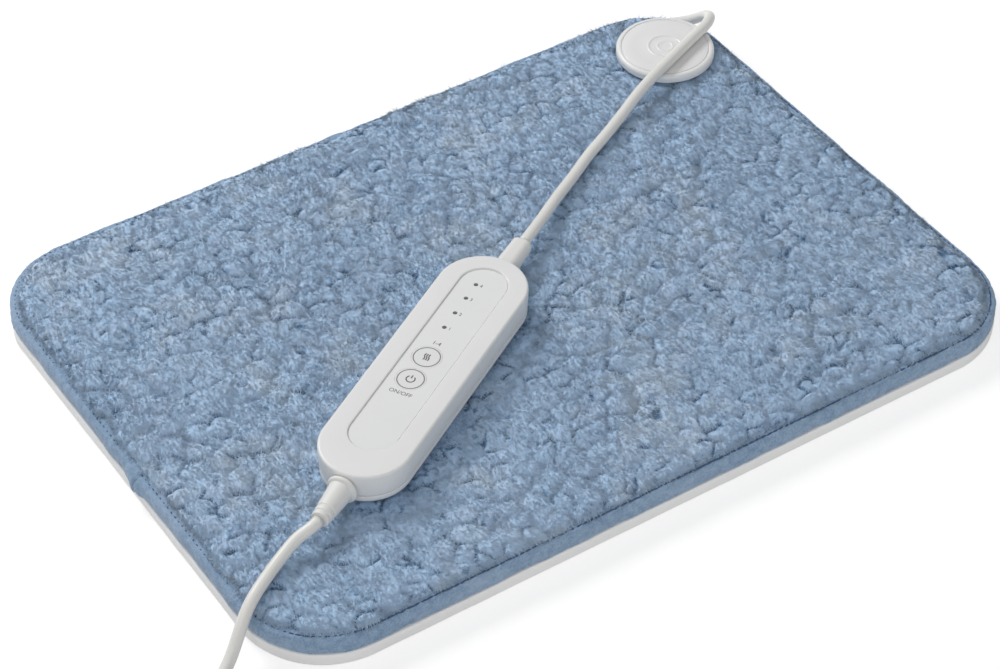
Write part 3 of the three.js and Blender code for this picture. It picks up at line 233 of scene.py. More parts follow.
def coilLine(values):
    # Turns of a coil in flat layers: radius falls on one layer and grows on the next, the height
    # climbs by a sine over half a turn at the change
    turns = np.linspace(0, values["coilTurns"], int(values["coilTurns"] * values["perTurn"]) + 1)
    layerTurns = values["coilTurns"] / values["coilLayers"]
    layer = np.minimum(np.floor(turns / layerTurns), values["coilLayers"] - 1)
    share = turns / layerTurns - layer
    inward = layer % 2 == 0
    radius = np.where(inward, 1 - share, share) * (values["coilOuter"] - values["coilInner"])
    radius = radius + values["coilInner"]
    past = turns - layerTurns
    climb = np.where(np.abs(past) < 0.25, (1 + np.sin(past * 2 * np.pi)) / 2, layer)
    angle = math.radians(values["coilStart"]) + turns * 2 * np.pi
    x = values["coilCentre"][0] + radius * np.cos(angle)
    y = values["coilCentre"][1] + radius * np.sin(angle)
    return np.stack([x, y, values["coilBottom"] + climb * values["coilPitch"]], -1)


def evenSteps(line, step):
    # The same line with its points at even steps of its length
    along = summed(stepLengths(line))
    even = np.linspace(0, along[-1], int(along[-1] / step) + 1)
    return np.stack([np.interp(even, along, line[:, k]) for k in range(3)], -1)


def tubeRings(line, radius, sides):
    # A circle of the radius carried along the line, square to it: one side level, one rising
    way = unit(np.gradient(line, axis=0))
    across = unit(level(-way[:, 1], way[:, 0]))
    rise = np.cross(way, across)
    turn = np.linspace(0, 2 * np.pi, sides, endpoint=False)[None, :, None]
    return line[:, None] + radius * (np.cos(turn) * across[:, None] + np.sin(turn) * rise[:, None])


# Materials: the shared node groups first, then one material for each finish


def addNode(tree, kind, inputs=None, **settings):
    # A shader node. An input is linked where it is given a socket, and set where it is given a value
    node = tree.nodes.new("ShaderNode" + kind)
    for key, value in settings.items():
        setattr(node, key, value)
    for key, value in (inputs or {}).items():
        if isinstance(value, bpy.types.NodeSocket):
            tree.links.new(value, node.inputs[key])
        else:
            node.inputs[key].default_value = value
    return node


def mixColours(tree, factor, first, second, blend="MIX"):
    # First at factor 0, second at factor 1
    node = addNode(tree, "Mix", {0: factor, 6: first, 7: second}, data_type="RGBA", blend_type=blend)
    return node.outputs[2]


def mathNode(tree, operation, first, second, clamp=False):
    # One sum of two values, held between 0 and 1 where clamp says so
    return addNode(tree, "Math", {0: first, 1: second}, operation=operation, use_clamp=clamp).outputs[0]


def spread(tree, value, low, high, newLow=0.0, newHigh=1.0):
    # A value between low and high carried evenly to between newLow and newHigh
    inputs = {"Value": value, "From Min": low, "From Max": high, "To Min": newLow, "To Max": newHigh}
    return addNode(tree, "MapRange", inputs).outputs["Result"]


def noise(tree, where, scale, detail=3.0, roughness=0.55):
    # Cloudy values round 0.5
    inputs = {"Vector": where, "Scale": scale, "Detail": detail, "Roughness": roughness}
    return addNode(tree, "TexNoise", inputs).outputs["Fac"]


def newGroup(name, inputs, outputs):
    # An empty node group, with the sockets that come in and those that go out
    tree = bpy.data.node_groups.new(name, "ShaderNodeTree")
    for label, kind, value in inputs:
        socket = tree.interface.new_socket(name=label, in_out="INPUT", socket_type="NodeSocket" + kind)
        if value is not None:
            socket.default_value = value
    for label, kind in outputs:
        tree.interface.new_socket(name=label, in_out="OUTPUT", socket_type="NodeSocket" + kind)
    start = tree.nodes.new("NodeGroupInput").outputs
    end = tree.nodes.new("NodeGroupOutput").inputs
    return tree, start, end


def makeMouldedSkin():
    # Moulded plastic or rubber: fine spark grain, handling marks in the gloss, a faint uneven tint
    tree, start, end = newGroup(
        "mouldedSkin",
        [("Where", "Vector", None), ("Colour", "Color", (0.8, 0.8, 0.8, 1)),
         ("Grain scale", "Float", 2500.0), ("Gloss", "Float", 0.4), ("Gloss change", "Float", 0.08),
         ("Tint change", "Float", 0.03)],
        [("Colour", "Color"), ("Roughness", "Float"), ("Height", "Float")],
    )
    grain = noise(tree, start["Where"], start["Grain scale"], 2.0)
    marks = noise(tree, start["Where"], 38.0, 5.0, 0.62)
    cloud = noise(tree, start["Where"], 16.0, 2.0)
    darker = mathNode(tree, "MULTIPLY", spread(tree, cloud, 0.35, 0.7), start["Tint change"])
    keep = mathNode(tree, "SUBTRACT", 1.0, darker)
    shade = addNode(tree, "CombineColor", {"Red": keep, "Green": keep, "Blue": keep}).outputs["Color"]
    tree.links.new(mixColours(tree, 1.0, start["Colour"], shade, "MULTIPLY"), end["Colour"])
    change = mathNode(tree, "MULTIPLY", spread(tree, marks, 0.3, 0.7, -1.0, 1.0), start["Gloss change"])
    tree.links.new(mathNode(tree, "ADD", start["Gloss"], change, clamp=True), end["Roughness"])
    tree.links.new(grain, end["Height"])
    return tree


def makeNapCloth():
    # Brushed or woven cloth: clumped nap in two tones, with single hairs over it
    tree, start, end = newGroup(
        "napCloth",
        [("Where", "Vector", None), ("Light", "Color", (0.8, 0.8, 0.8, 1)),
         ("Deep", "Color", (0.5, 0.5, 0.5, 1)), ("Nap scale", "Float", 900.0),
         ("Nap strength", "Float", 0.6), ("Worn", "Color", (0.8, 0.8, 0.8, 1)),
         ("Worn share", "Float", 0.15)],
        [("Colour", "Color"), ("Height", "Float")],
    )
    nap = noise(tree, start["Where"], start["Nap scale"], 4.0, 0.7)
    clump = noise(tree, start["Where"], mathNode(tree, "MULTIPLY", start["Nap scale"], 0.28), 3.0)
    cloud = noise(tree, start["Where"], 22.0, 3.0)
    both = mathNode(tree, "ADD", mathNode(tree, "MULTIPLY", nap, 0.6),
                    mathNode(tree, "MULTIPLY", clump, 0.4))
    lit = spread(tree, both, 0.36, 0.6)
    amount = mathNode(tree, "MULTIPLY", mathNode(tree, "SUBTRACT", 1.0, lit), start["Nap strength"])
    colour = mixColours(tree, amount, start["Light"], start["Deep"])
    worn = mathNode(tree, "MULTIPLY", spread(tree, cloud, 0.45, 0.72), start["Worn share"])
    tree.links.new(mixColours(tree, worn, colour, start["Worn"]), end["Colour"])
    tree.links.new(both, end["Height"])
    return tree


def makeDrawnMetal():
    # Drawn or stamped metal: long fine scratches, small dull spots
    tree, start, end = newGroup(
        "drawnMetal",
        [("Where", "Vector", None), ("Colour", "Color", (0.7, 0.7, 0.7, 1)), ("Gloss", "Float", 0.3)],
        [("Colour", "Color"), ("Roughness", "Float"), ("Height", "Float")],
    )
    stretch = addNode(tree, "Mapping", {"Vector": start["Where"], "Scale": (1.0, 1.0, 14.0)})
    scratch = noise(tree, stretch.outputs["Vector"], 700.0, 3.0, 0.7)
    spots = noise(tree, start["Where"], 260.0, 3.0)
    dull = spread(tree, spots, 0.5, 0.75)
    darker = addNode(tree, "HueSaturation", {"Color": start["Colour"], "Value": 0.72}).outputs["Color"]
    tree.links.new(mixColours(tree, dull, start["Colour"], darker), end["Colour"])
    rough = mathNode(tree, "ADD", start["Gloss"], mathNode(tree, "MULTIPLY", scratch, 0.2))
    tree.links.new(rough, end["Roughness"])
    tree.links.new(scratch, end["Height"])
    return tree


mouldedSkin, napCloth, drawnMetal = makeMouldedSkin(), makeNapCloth(), makeDrawnMetal()


def newMaterial(name, shaderValues):
    # A Principled material and its tree; numbers that are the same all over are set on the shader itself
    material = bpy.data.materials.new(name)
    material.use_nodes = True
    tree = material.node_tree
    tree.nodes.clear()
    shader = addNode(tree, "BsdfPrincipled", shaderValues)
    addNode(tree, "OutputMaterial", {"Surface": shader.outputs["BSDF"]})
    return material, tree, shader


def objectPlace(tree):
    # The place in the part's own frame, in metres
    return addNode(tree, "TexCoord").outputs["Object"]


def addBump(tree, shader, height, strength, distance):
    # The light falls as on a surface raised by the height times the distance
    bump = addNode(tree, "Bump", {"Height": height, "Strength": strength, "Distance": distance})
    tree.links.new(bump.outputs["Normal"], shader.inputs["Normal"])


def groupMaterial(name, shaderValues, group, inputs, bump, depth):
    # The group gives the colour and the bump's height, and the roughness where it has one
    material, tree, shader = newMaterial(name, shaderValues)
    found = addNode(tree, "Group", {"Where": objectPlace(tree), **inputs}, node_tree=group).outputs
    tree.links.new(found["Colour"], shader.inputs["Base Color"])
    if "Roughness" in found:
        tree.links.new(found["Roughness"], shader.inputs["Roughness"])
    addBump(tree, shader, found["Height"], bump, depth)
    return material


def mouldedMaterial(name, colour, gloss, grainScale=2500.0, bump=0.12, glossChange=0.06,
                    tintChange=0.03, **more):
    # Plastic or rubber with the moulded skin's grain
    return groupMaterial(name, {"Specular IOR Level": 0.5, **more}, mouldedSkin, {
        "Colour": (*colour, 1), "Grain scale": grainScale, "Gloss": gloss, "Gloss change": glossChange,
        "Tint change": tintChange}, bump, 0.0001)


def clothMaterial(name, light, deep, napScale, napStrength=0.6, bump=0.5, worn=None, wornShare=0.15,
                  **more):
    # Cloth, light on its nap and deep between, with a worn colour in places
    return groupMaterial(name, {"Roughness": 0.95, "Specular IOR Level": 0.15, **more}, napCloth, {
        "Light": (*light, 1), "Deep": (*deep, 1), "Nap scale": napScale, "Nap strength": napStrength,
        "Worn": (*(worn or light), 1), "Worn share": wornShare}, bump, 0.0006)


def metalMaterial(name, colour, gloss):
    # Metal with the drawn metal's scratches
    return groupMaterial(name, {"Metallic": 1.0}, drawnMetal, {"Colour": (*colour, 1), "Gloss": gloss},
                         0.1, 0.0001)


# The root colour is painted shade, for the pile's hollows and the fibres' roots
pileColours = {
    "root": (0.080, 0.155, 0.270),
    "middle": (0.385, 0.545, 0.750),
    "tip": (0.520, 0.680, 0.865),
    "pale": (0.640, 0.735, 0.835),
    "violet": (0.430, 0.510, 0.690),
}


def pileMaterial(values):
    # Plush: from the root colour to the tip colour by the pile's own attribute, which carries painted
    # shade in its hollows and at the fibres' roots; each lobe with its own tint, pale washed patches and
    # a violet cast over wider areas
    material, tree, shader = newMaterial("plushPile", {
        "Roughness": 1.0, "Specular IOR Level": 0.08, "Sheen Weight": 0.22, "Sheen Roughness": 0.55,
        "Sheen Tint": (0.72, 0.84, 1.0, 1)})
    where = objectPlace(tree)
    shade = addNode(tree, "Attribute", attribute_name="pileShade").outputs["Fac"]
    tint = addNode(tree, "Attribute", attribute_name="pileTint").outputs["Fac"]
    fine = noise(tree, where, 1500.0, 3.0, 0.75)
    tone = mathNode(tree, "ADD", shade, spread(tree, fine, 0.3, 0.7, -0.09, 0.09), clamp=True)
    deep = spread(tree, noise(tree, where, 55.0, 3.0, 0.6), 0.50, 0.70, 0.0, 0.16)
    tone = mathNode(tree, "SUBTRACT", tone, deep, clamp=True)
    ramp = addNode(tree, "ValToRGB", {"Fac": tone})
    stops = ramp.color_ramp.elements
    stops[0].position, stops[0].color = 0.05, (*values["root"], 1)
    stops[1].position, stops[1].color = 0.95, (*values["tip"], 1)
    stops.new(0.48).color = (*values["middle"], 1)
    patches = spread(tree, noise(tree, where, 30.0, 4.0, 0.6), 0.50, 0.70, 0.0, 0.75)
    pale = mathNode(tree, "MULTIPLY", patches, tone)
    colour = mixColours(tree, pale, ramp.outputs["Color"], (*values["pale"], 1))
    cast = spread(tree, noise(tree, where, 90.0, 3.0), 0.5, 0.72, 0.0, 0.3)
    colour = mixColours(tree, mathNode(tree, "MULTIPLY", cast, tone), colour, (*values["violet"], 1))
    level = spread(tree, tint, 0.0, 1.0, 0.93, 1.07)
    grey = addNode(tree, "CombineColor", {"Red": level, "Green": level, "Blue": level}).outputs["Color"]
    colour = mixColours(tree, 1.0, colour, grey, "MULTIPLY")
    tree.links.new(colour, shader.inputs["Base Color"])
    addBump(tree, shader, fine, 0.3, 0.0003)
    return material


finishes = {
    "plush": pileMaterial(pileColours),
    "velour": clothMaterial("velourPile", (0.312, 0.430, 0.578), (0.140, 0.232, 0.368), 1100.0, 0.85, 0.9,
                            (0.390, 0.500, 0.640), 0.4, **{"Sheen Weight": 0.3, "Sheen Roughness": 0.4}),
    "lining": clothMaterial("linedBack", (0.930, 0.926, 0.918), (0.870, 0.866, 0.856), 1700.0, 0.3, 0.25),
    "felt": clothMaterial("needledFelt", (0.620, 0.610, 0.580), (0.420, 0.410, 0.390), 700.0),
    "tie_strap": clothMaterial("strapCloth", (0.700, 0.695, 0.680), (0.480, 0.475, 0.460), 1600.0, 0.6,
                               0.6),
    "wire_jacket": mouldedMaterial("siliconeJacket", (0.690, 0.600, 0.480), 0.55),
    "black_plastic": mouldedMaterial("blackMoulding", (0.016, 0.016, 0.017), 0.42, 1800.0, 0.3),
    "white_plastic": mouldedMaterial("whiteMoulding", (0.790, 0.790, 0.780), 0.36, 2600.0, 0.10),
    "panel_plastic": mouldedMaterial("panelMoulding", (0.780, 0.780, 0.775), 0.48, 3200.0, 0.14),
    "button_plastic": mouldedMaterial("buttonMoulding", (0.765, 0.765, 0.758), 0.44, 3200.0, 0.12),
    "soft_sleeve": mouldedMaterial("softMoulding", (0.760, 0.755, 0.730), 0.50, 2200.0, 0.18),
    "cord_jacket": mouldedMaterial("cordJacket", (0.765, 0.755, 0.725), 0.38, 1900.0, 0.12, 0.08, 0.05),
    "lens": mouldedMaterial("smokedLens", (0.150, 0.150, 0.152), 0.18, 2600.0, 0.03,
                            **{"Coat Weight": 0.4}),
    "light_chip": mouldedMaterial("lightChip", (0.800, 0.720, 0.380), 0.22),
    "board": mouldedMaterial("boardMask", (0.020, 0.130, 0.055), 0.34, 1400.0, 0.2, 0.08, 0.25),
    "fuse_glass": mouldedMaterial("fuseGlass", (0.820, 0.850, 0.850), 0.08, 900.0, 0.02, 0.03, 0.02,
                                  **{"Transmission Weight": 0.85, "IOR": 1.47}),
    "capacitor_case": mouldedMaterial("capacitorCase", (0.560, 0.330, 0.030), 0.30),
    "tinned_metal": metalMaterial("tinnedMetal", (0.640, 0.640, 0.630), 0.34),
    "contact_metal": metalMaterial("platedContact", (0.760, 0.600, 0.280), 0.26),
    "screw_steel": metalMaterial("zincScrew", (0.600, 0.600, 0.600), 0.30),
    "thread": clothMaterial("stitchThread", (0.075, 0.130, 0.240), (0.035, 0.070, 0.140), 2600.0),
    "ink": mouldedMaterial("greyInk", (0.105, 0.105, 0.108), 0.60, 3000.0, 0.05),
    "paleInk": mouldedMaterial("paleInk", (0.220, 0.220, 0.225), 0.60, 3000.0, 0.05),
}


def numbered(name, count):
    # The name with _1, _2 and so on after it
    return [f"{name}_{number + 1}" for number in range(count)]


nodesOfSlot = {
    "plush": ["pad_plush_cover"],
    "velour": ["pad_edge_binding"],
    "lining": ["pad_back_cover"],
    "felt": ["lower_felt_layer", "upper_felt_layer"],
    "wire_jacket": ["heating_wire", "temperature_sensor"],
    "tinned_metal": ["thermal_fuse"],
    "black_plastic": ["power_switch", "heat_switch", "power_switch_plunger", "heat_switch_plunger",
                      "control_chip", "power_triac"],
    "white_plastic": ["connector_cover", "connector_base", "lead_plug_upper_shell",
                      "lead_plug_lower_shell", "controller_top_shell", "controller_bottom_shell",
                      "mains_plug_body"],
    "panel_plastic": ["controller_panel"],
    "button_plastic": ["power_button", "heat_button"],
    "contact_metal": [*numbered("connector_contact", 3), *numbered("lead_plug_contact", 3),
                      *numbered("mains_plug_pin", 2)],
    "screw_steel": [*numbered("connector_screw", 2), *numbered("housing_screw", 2)],
    "soft_sleeve": ["lead_plug_boot", "upper_strain_relief", "lower_strain_relief", "mains_plug_boot"],
    "cord_jacket": ["pad_lead", "mains_lead", "mains_coil", "mains_tail"],
    "lens": numbered("led_lens", 4),
    "light_chip": numbered("led", 4),
    "board": ["circuit_board"],
    "fuse_glass": ["mains_fuse"],
    "capacitor_case": ["filter_capacitor"],
    "tie_strap": ["coil_tie"],
}

for slotName, nodeNames in nodesOfSlot.items():
    for nodeName in nodeNames:
        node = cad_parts[nodeName]
        node.data.materials.clear()
        node.data.materials.append(finishes[slotName])
print("Finishes made:", len(finishes))


# Cords and what is on them


def makeCord(name, line, nodes):
    # A round cord along its line, from its exit to what is on its far end
    rings = tubeRings(line, cord["diameter"] / 2, cord["sides"])
    piece = place(name, closedSkin(rings), "harness", "cord_jacket", *nodes)


padLeadLine = evenSteps(throughPoints(padLeadRoute), cord["step"])
coil = coilLine(cord)
tailStart = coil[-1] + np.array([cord["diameter"], 0, 0])
tailEnd = np.array(cord["tailEnd"])
third = np.array([0.010, 0, 0])
mainsLine = evenSteps(np.vstack([
    throughPoints(mainsLeadRoute),
    coil,
    throughPoints([tailStart, tailStart + third, tailEnd - third, tailEnd]),
]), cord["step"])


# The pad's plush

# Millimetres, from here to the studio
pad = {
    "length": 400.0,
    "depth": 290.0,
    "corner": 42.0,
}

pile = {
    "seed": 11,
    "cell": 0.85,  # between the surface's points
    "edgeInset": 4.4,  # of its rim from the pad's outline
    "lip": 16.9,  # height at the rim
    "edgeRise": 2.0,
    "edgeRoll": 9.0,
    "crown": 0.6,
    "crownReach": 90.0,
    "tuftPitch": (11.0, 9.6),
    "tuftRadius": 6.6,
    "tuftRise": 1.2,
    "lobePitch": (4.1, 3.7),
    "lobeRadius": 2.7,
    "lobeRise": 0.16,
    "overhang": 0.24,  # how much more its front rises than its back
    "napHeading": math.radians(-118),  # the way that the pile lies
    "warp": ((2.6, 5.1), (0.7, 1.7)),  # how far the tufts are shifted, and over what distance
    "sink": 0.68,  # brings the middle height back to the base
    "splitDepth": 1.2,
    "splitWidth": 0.26,
    "edgeSwell": 2.6,
    "skirtBottom": 14.3,
    "underlay": 0.15,  # room left below the controller and the connector
    "cordRadius": 3.0,
}

fibre = {
    "seed": 23,
    "count": 330000,
    "edgeCount": 26000,
    "perPiece": 62000,
    "length": (2.4, 4.8),
    "width": 0.42,
    "sunk": 0.35,
    "droop": 0.12,  # share of its length
    "slopeStep": 1.1,
    "hang": 2.2,  # how far down the rim's side the lowest ones stand
}

controller = {
    "centre": (-66.4, -38.7),
    "yaw": 30.6,  # degrees
    "length": 155.0,
    "width": 43.0,
    "bottom": 20.5,
    "top": 37.5,
}

disc = {
    "centre": (166.0, 103.0),
    "radius": 25.0,
    "bottom": 20.5,
    "top": 24.8,
}

# Length of the pad's outline
rimLength = 2 * (pad["length"] + pad["depth"] - 4 * pad["corner"]) + 2 * np.pi * pad["corner"]
yaw = math.radians(controller["yaw"])
alongWay = np.array([math.cos(yaw), math.sin(yaw)])
acrossWay = np.array([-math.sin(yaw), math.cos(yaw)])


def insetOf(x, y):
    # Distance in from the rounded outline, and the unit vector straight out from it
    radius = pad["corner"]
    qx = np.abs(x) - (pad["length"] / 2 - radius)
    qy = np.abs(y) - (pad["depth"] / 2 - radius)
    ax, ay = np.maximum(qx, 0), np.maximum(qy, 0)
    corner = np.hypot(ax, ay)
    inset = radius - corner - np.minimum(np.maximum(qx, qy), 0)
    flat = corner < 1e-9
    outX = np.where(flat, np.where(qx > qy, 1.0, 0.0), ax / np.maximum(corner, 1e-9)) * np.sign(x)
    outY = np.where(flat, np.where(qx > qy, 0.0, 1.0), ay / np.maximum(corner, 1e-9)) * np.sign(y)
    return inset, outX, outY


rng = np.random.default_rng(pile["seed"])
tuftTables = rng.random((4, 97, 97))
lobeTables = rng.random((4, 127, 127))
noiseTable = rng.random((211, 211))


def softNoise(x, y, cell):
    # The noise table's numbers on a square grid, blended smoothly between its corners
    size = len(noiseTable)
    u, v = x / cell, y / cell
    i, j = np.floor(u).astype(int), np.floor(v).astype(int)
    fu, fv = smoothStep(u - i), smoothStep(v - j)
    corners = ((0, 0), (1, 0), (0, 1), (1, 1))
    a, b, c, d = (noiseTable[(i + right) % size, (j + up) % size] for right, up in corners)
    return (a * (1 - fu) + b * fu) * (1 - fv) + (c * (1 - fu) + d * fu) * fv


def patchy(x, y, cell, low, width):
    # From 0 to 1 where the soft noise climbs from low through the width
    return smoothStep((softNoise(x, y, cell) - low) / width)


def bell(t):
    # 1 at 0, falling off to both sides: e^(-t^2)
    return np.exp(-t ** 2)


def lobeField(tables, x, y, pitch, radius):
    # Domes round the scattered middles of a staggered grid. At each place the highest dome counts:
    # its height from 1 at the middle, how near the next highest comes, its own random number and the
    # way from its middle
    size = tables.shape[1]
    row = np.floor(y / pitch[1]).astype(int)
    best = np.full(x.shape, -9.0)
    second = np.full(x.shape, -9.0)
    own, wayX, wayY = np.zeros(x.shape), np.zeros(x.shape), np.zeros(x.shape)
    for stepY in (-1, 0, 1):
        r = row + stepY
        stagger = 0.5 * (r % 2)
        column = np.floor(x / pitch[0] - stagger).astype(int)
        for stepX in (-1, 0, 1):
            c = column + stepX
            pick = tables[:, c % size, r % size]
            midX = (c + stagger + 0.5 + 0.42 * (pick[0] * 2 - 1)) * pitch[0]
            midY = (r + 0.5 + 0.42 * (pick[1] * 2 - 1)) * pitch[1]
            dx, dy = x - midX, y - midY
            turn = pick[3] * np.pi
            long = dx * np.cos(turn) + dy * np.sin(turn)
            short = dy * np.cos(turn) - dx * np.sin(turn)
            far = (long / 1.18) ** 2 + (short / 0.88) ** 2
            height = 1 + 0.42 * (pick[2] - 0.5) - far / radius ** 2
            higher = height > best
            second = np.where(higher, best, np.maximum(second, height))
            best = np.where(higher, height, best)
            own = np.where(higher, pick[2], own)
            wayX, wayY = np.where(higher, dx, wayX), np.where(higher, dy, wayY)
    return best, best - second, own, wayX, wayY


def besideController(x, y):
    # Distance out from the controller's outline, and how far across from its long axis
    dx, dy = x - controller["centre"][0], y - controller["centre"][1]
    along = dx * alongWay[0] + dy * alongWay[1]
    across = dx * acrossWay[0] + dy * acrossWay[1]
    half = controller["width"] / 2
    past = np.maximum(np.abs(along) - (controller["length"] / 2 - half), 0)
    return np.hypot(past, across) - half, across


def headroom(x, y):
    # How high the pile may stand: pressed down under the controller, the disc and the cords, free
    # again a little way beside them
    beside = besideController(x, y)[0]
    free = controller["bottom"] - pile["underlay"] + 1.5 * np.maximum(beside + 1.4, 0)
    ring = np.hypot(x - disc["centre"][0], y - disc["centre"][1]) - disc["radius"]
    free = np.minimum(free, disc["bottom"] - pile["underlay"] + 1.6 * np.maximum(ring + 0.7, 0))
    for line in (padLeadLine, mainsLine):
        x0, y0, z0 = np.abs(line.T)
        near = line[(x0 < 0.215) & (y0 < 0.16) & (z0 > 0.012)] / mm
        for part in np.array_split(near, max(1, len(near) // 12)):
            close = (np.abs(x - part[:, 0].mean()) < 24) & (np.abs(y - part[:, 1].mean()) < 24)
            if not close.any():
                continue
            px, py = x[close][:, None] - part[None, :, 0], y[close][:, None] - part[None, :, 1]
            away = np.hypot(px, py)
            nearest = away.argmin(1)
            gap = away[np.arange(len(away)), nearest]
            radius = pile["cordRadius"]
            below = np.sqrt(np.maximum(radius ** 2 - np.minimum(gap, radius) ** 2, 0))
            low = part[nearest, 2] - below - 0.1
            room = low + 1.3 * np.maximum(gap - 2.2, 0)
            free[close] = np.minimum(free[close], room)
    return free


def pileAt(x, y):
    # Height of the pile: the pad's crown and rolled edge, with tufts and smaller lobes on them. Both
    # rise along the nap and stop short, so that each front end hangs over the next one's back
    inset, outX, outY = insetOf(x, y)
    (far, wideCell), (near, fineCell) = pile["warp"]
    wx = x + far * (softNoise(x, y, wideCell) - 0.5) + near * (softNoise(x, y + 19, fineCell) - 0.5)
    wy = y + far * (softNoise(y + 77, x, wideCell) - 0.5) + near * (softNoise(y, x + 41, fineCell) - 0.5)
    tuft, tuftEdge, tuftOwn, tuftX, tuftY = lobeField(
        tuftTables, wx, wy, pile["tuftPitch"], pile["tuftRadius"])
    lobe, lobeEdge, lobeOwn, lobeX, lobeY = lobeField(
        lobeTables, wx, wy, pile["lobePitch"], pile["lobeRadius"])
    edge = np.clip((inset - pile["edgeInset"]) / pile["edgeRoll"], 0, 1)
    base = pile["lip"] + pile["edgeRise"] * np.sqrt(np.maximum(1 - (1 - edge) ** 2, 0))
    crown = smoothStep((inset - 14) / pile["crownReach"]) * pile["crown"]
    wide = softNoise(x, y, 26.0)
    ruffled = 0.28 * np.exp(-inset / 13.0) * smoothStep(0.5 - y / pad["depth"])
    torn = smoothStep((softNoise(x + 31, y, 6.3) - 0.56 + ruffled) / 0.3)
    split = bell(tuftEdge / pile["splitWidth"]) * torn
    crease = bell(lobeEdge / 0.20) * patchy(x, y + 53, 4.1, 0.4, 0.3)
    rough = softNoise(x, y, 1.15) - 0.5 + 0.6 * (softNoise(y, x, 0.8) - 0.5)
    heading = pile["napHeading"] + 1.5 * (softNoise(x + 7, y, 33.0) - 0.5)
    napX, napY = np.cos(heading), np.sin(heading)
    front = (tuftX * napX + tuftY * napY) / pile["tuftRadius"]
    lobeFront = (lobeX * napX + lobeY * napY) / pile["lobeRadius"]
    brushed = patchy(x, y + 11, 37.0, 0.45, 0.3)
    under = smoothStep((-front - 0.1) / 0.6) * bell(tuftEdge / 0.34)
    underLobe = smoothStep((-lobeFront - 0.1) / 0.6) * bell(lobeEdge / 0.34)
    paintedShadeFleck = patchy(x, y + 83, 1.5, 0.60, 0.16) * patchy(x + 59, y, 9.4, 0.40, 0.3)
    swell = (tuft + pile["overhang"] * front) * pile["tuftRise"] * (1 - 0.45 * brushed)
    swell = swell + (lobe + pile["overhang"] * lobeFront) * pile["lobeRise"]
    height = base + crown + swell - pile["sink"] + 0.6 * (wide - 0.5) + 0.2 * rough
    height = height - pile["splitDepth"] * split - 0.2 * crease
    # Painted shade: darker in the splits and creases, low between the tufts, in small flecks and under
    # each tuft's and lobe's overhanging front end
    low = smoothStep((0.5 - tuft) / 0.9)
    paintedShade = 1.0 * split + 0.02 * crease + (0.06 + 0.20 * torn) * low + 0.6 * paintedShadeFleck
    paintedShade = paintedShade + ((0.08 + 0.24 * torn) * under + 0.05 * underLobe) * (1 - 0.6 * brushed)
    # Painted shadow along the controller's lower side, where its shadow falls
    beside, across = besideController(x, y)
    paintedContactShadow = bell(np.maximum(beside, 0) / 5.0) * smoothStep(0.3 - across / 26)
    paintedShade = np.clip(paintedShade + 0.5 * paintedContactShadow, 0, 1)
    limit = headroom(x, y)
    # Near the edge the lobes swell outwards
    atRim = np.exp(-np.maximum(inset - pile["edgeInset"], 0) / 2.6)
    push = atRim * pile["edgeSwell"] * (swell / 2.6 - 0.35)
    return {"height": np.minimum(height, limit), "paintedShade": paintedShade, "tuft": (tuftX, tuftY),
            "lobe": (lobeX, lobeY), "own": lobeOwn, "tuftOwn": tuftOwn, "out": (outX, outY),
            "inset": inset, "limit": limit, "push": push, "nap": (napX, napY), "brushed": brushed}


def setAttribute(mesh, name, values):
    # One number for each point, which a material reads by its name
    layer = mesh.attributes.new(name, "FLOAT", "POINT")
    layer.data.foreach_set("value", np.asarray(values, np.float32).ravel())


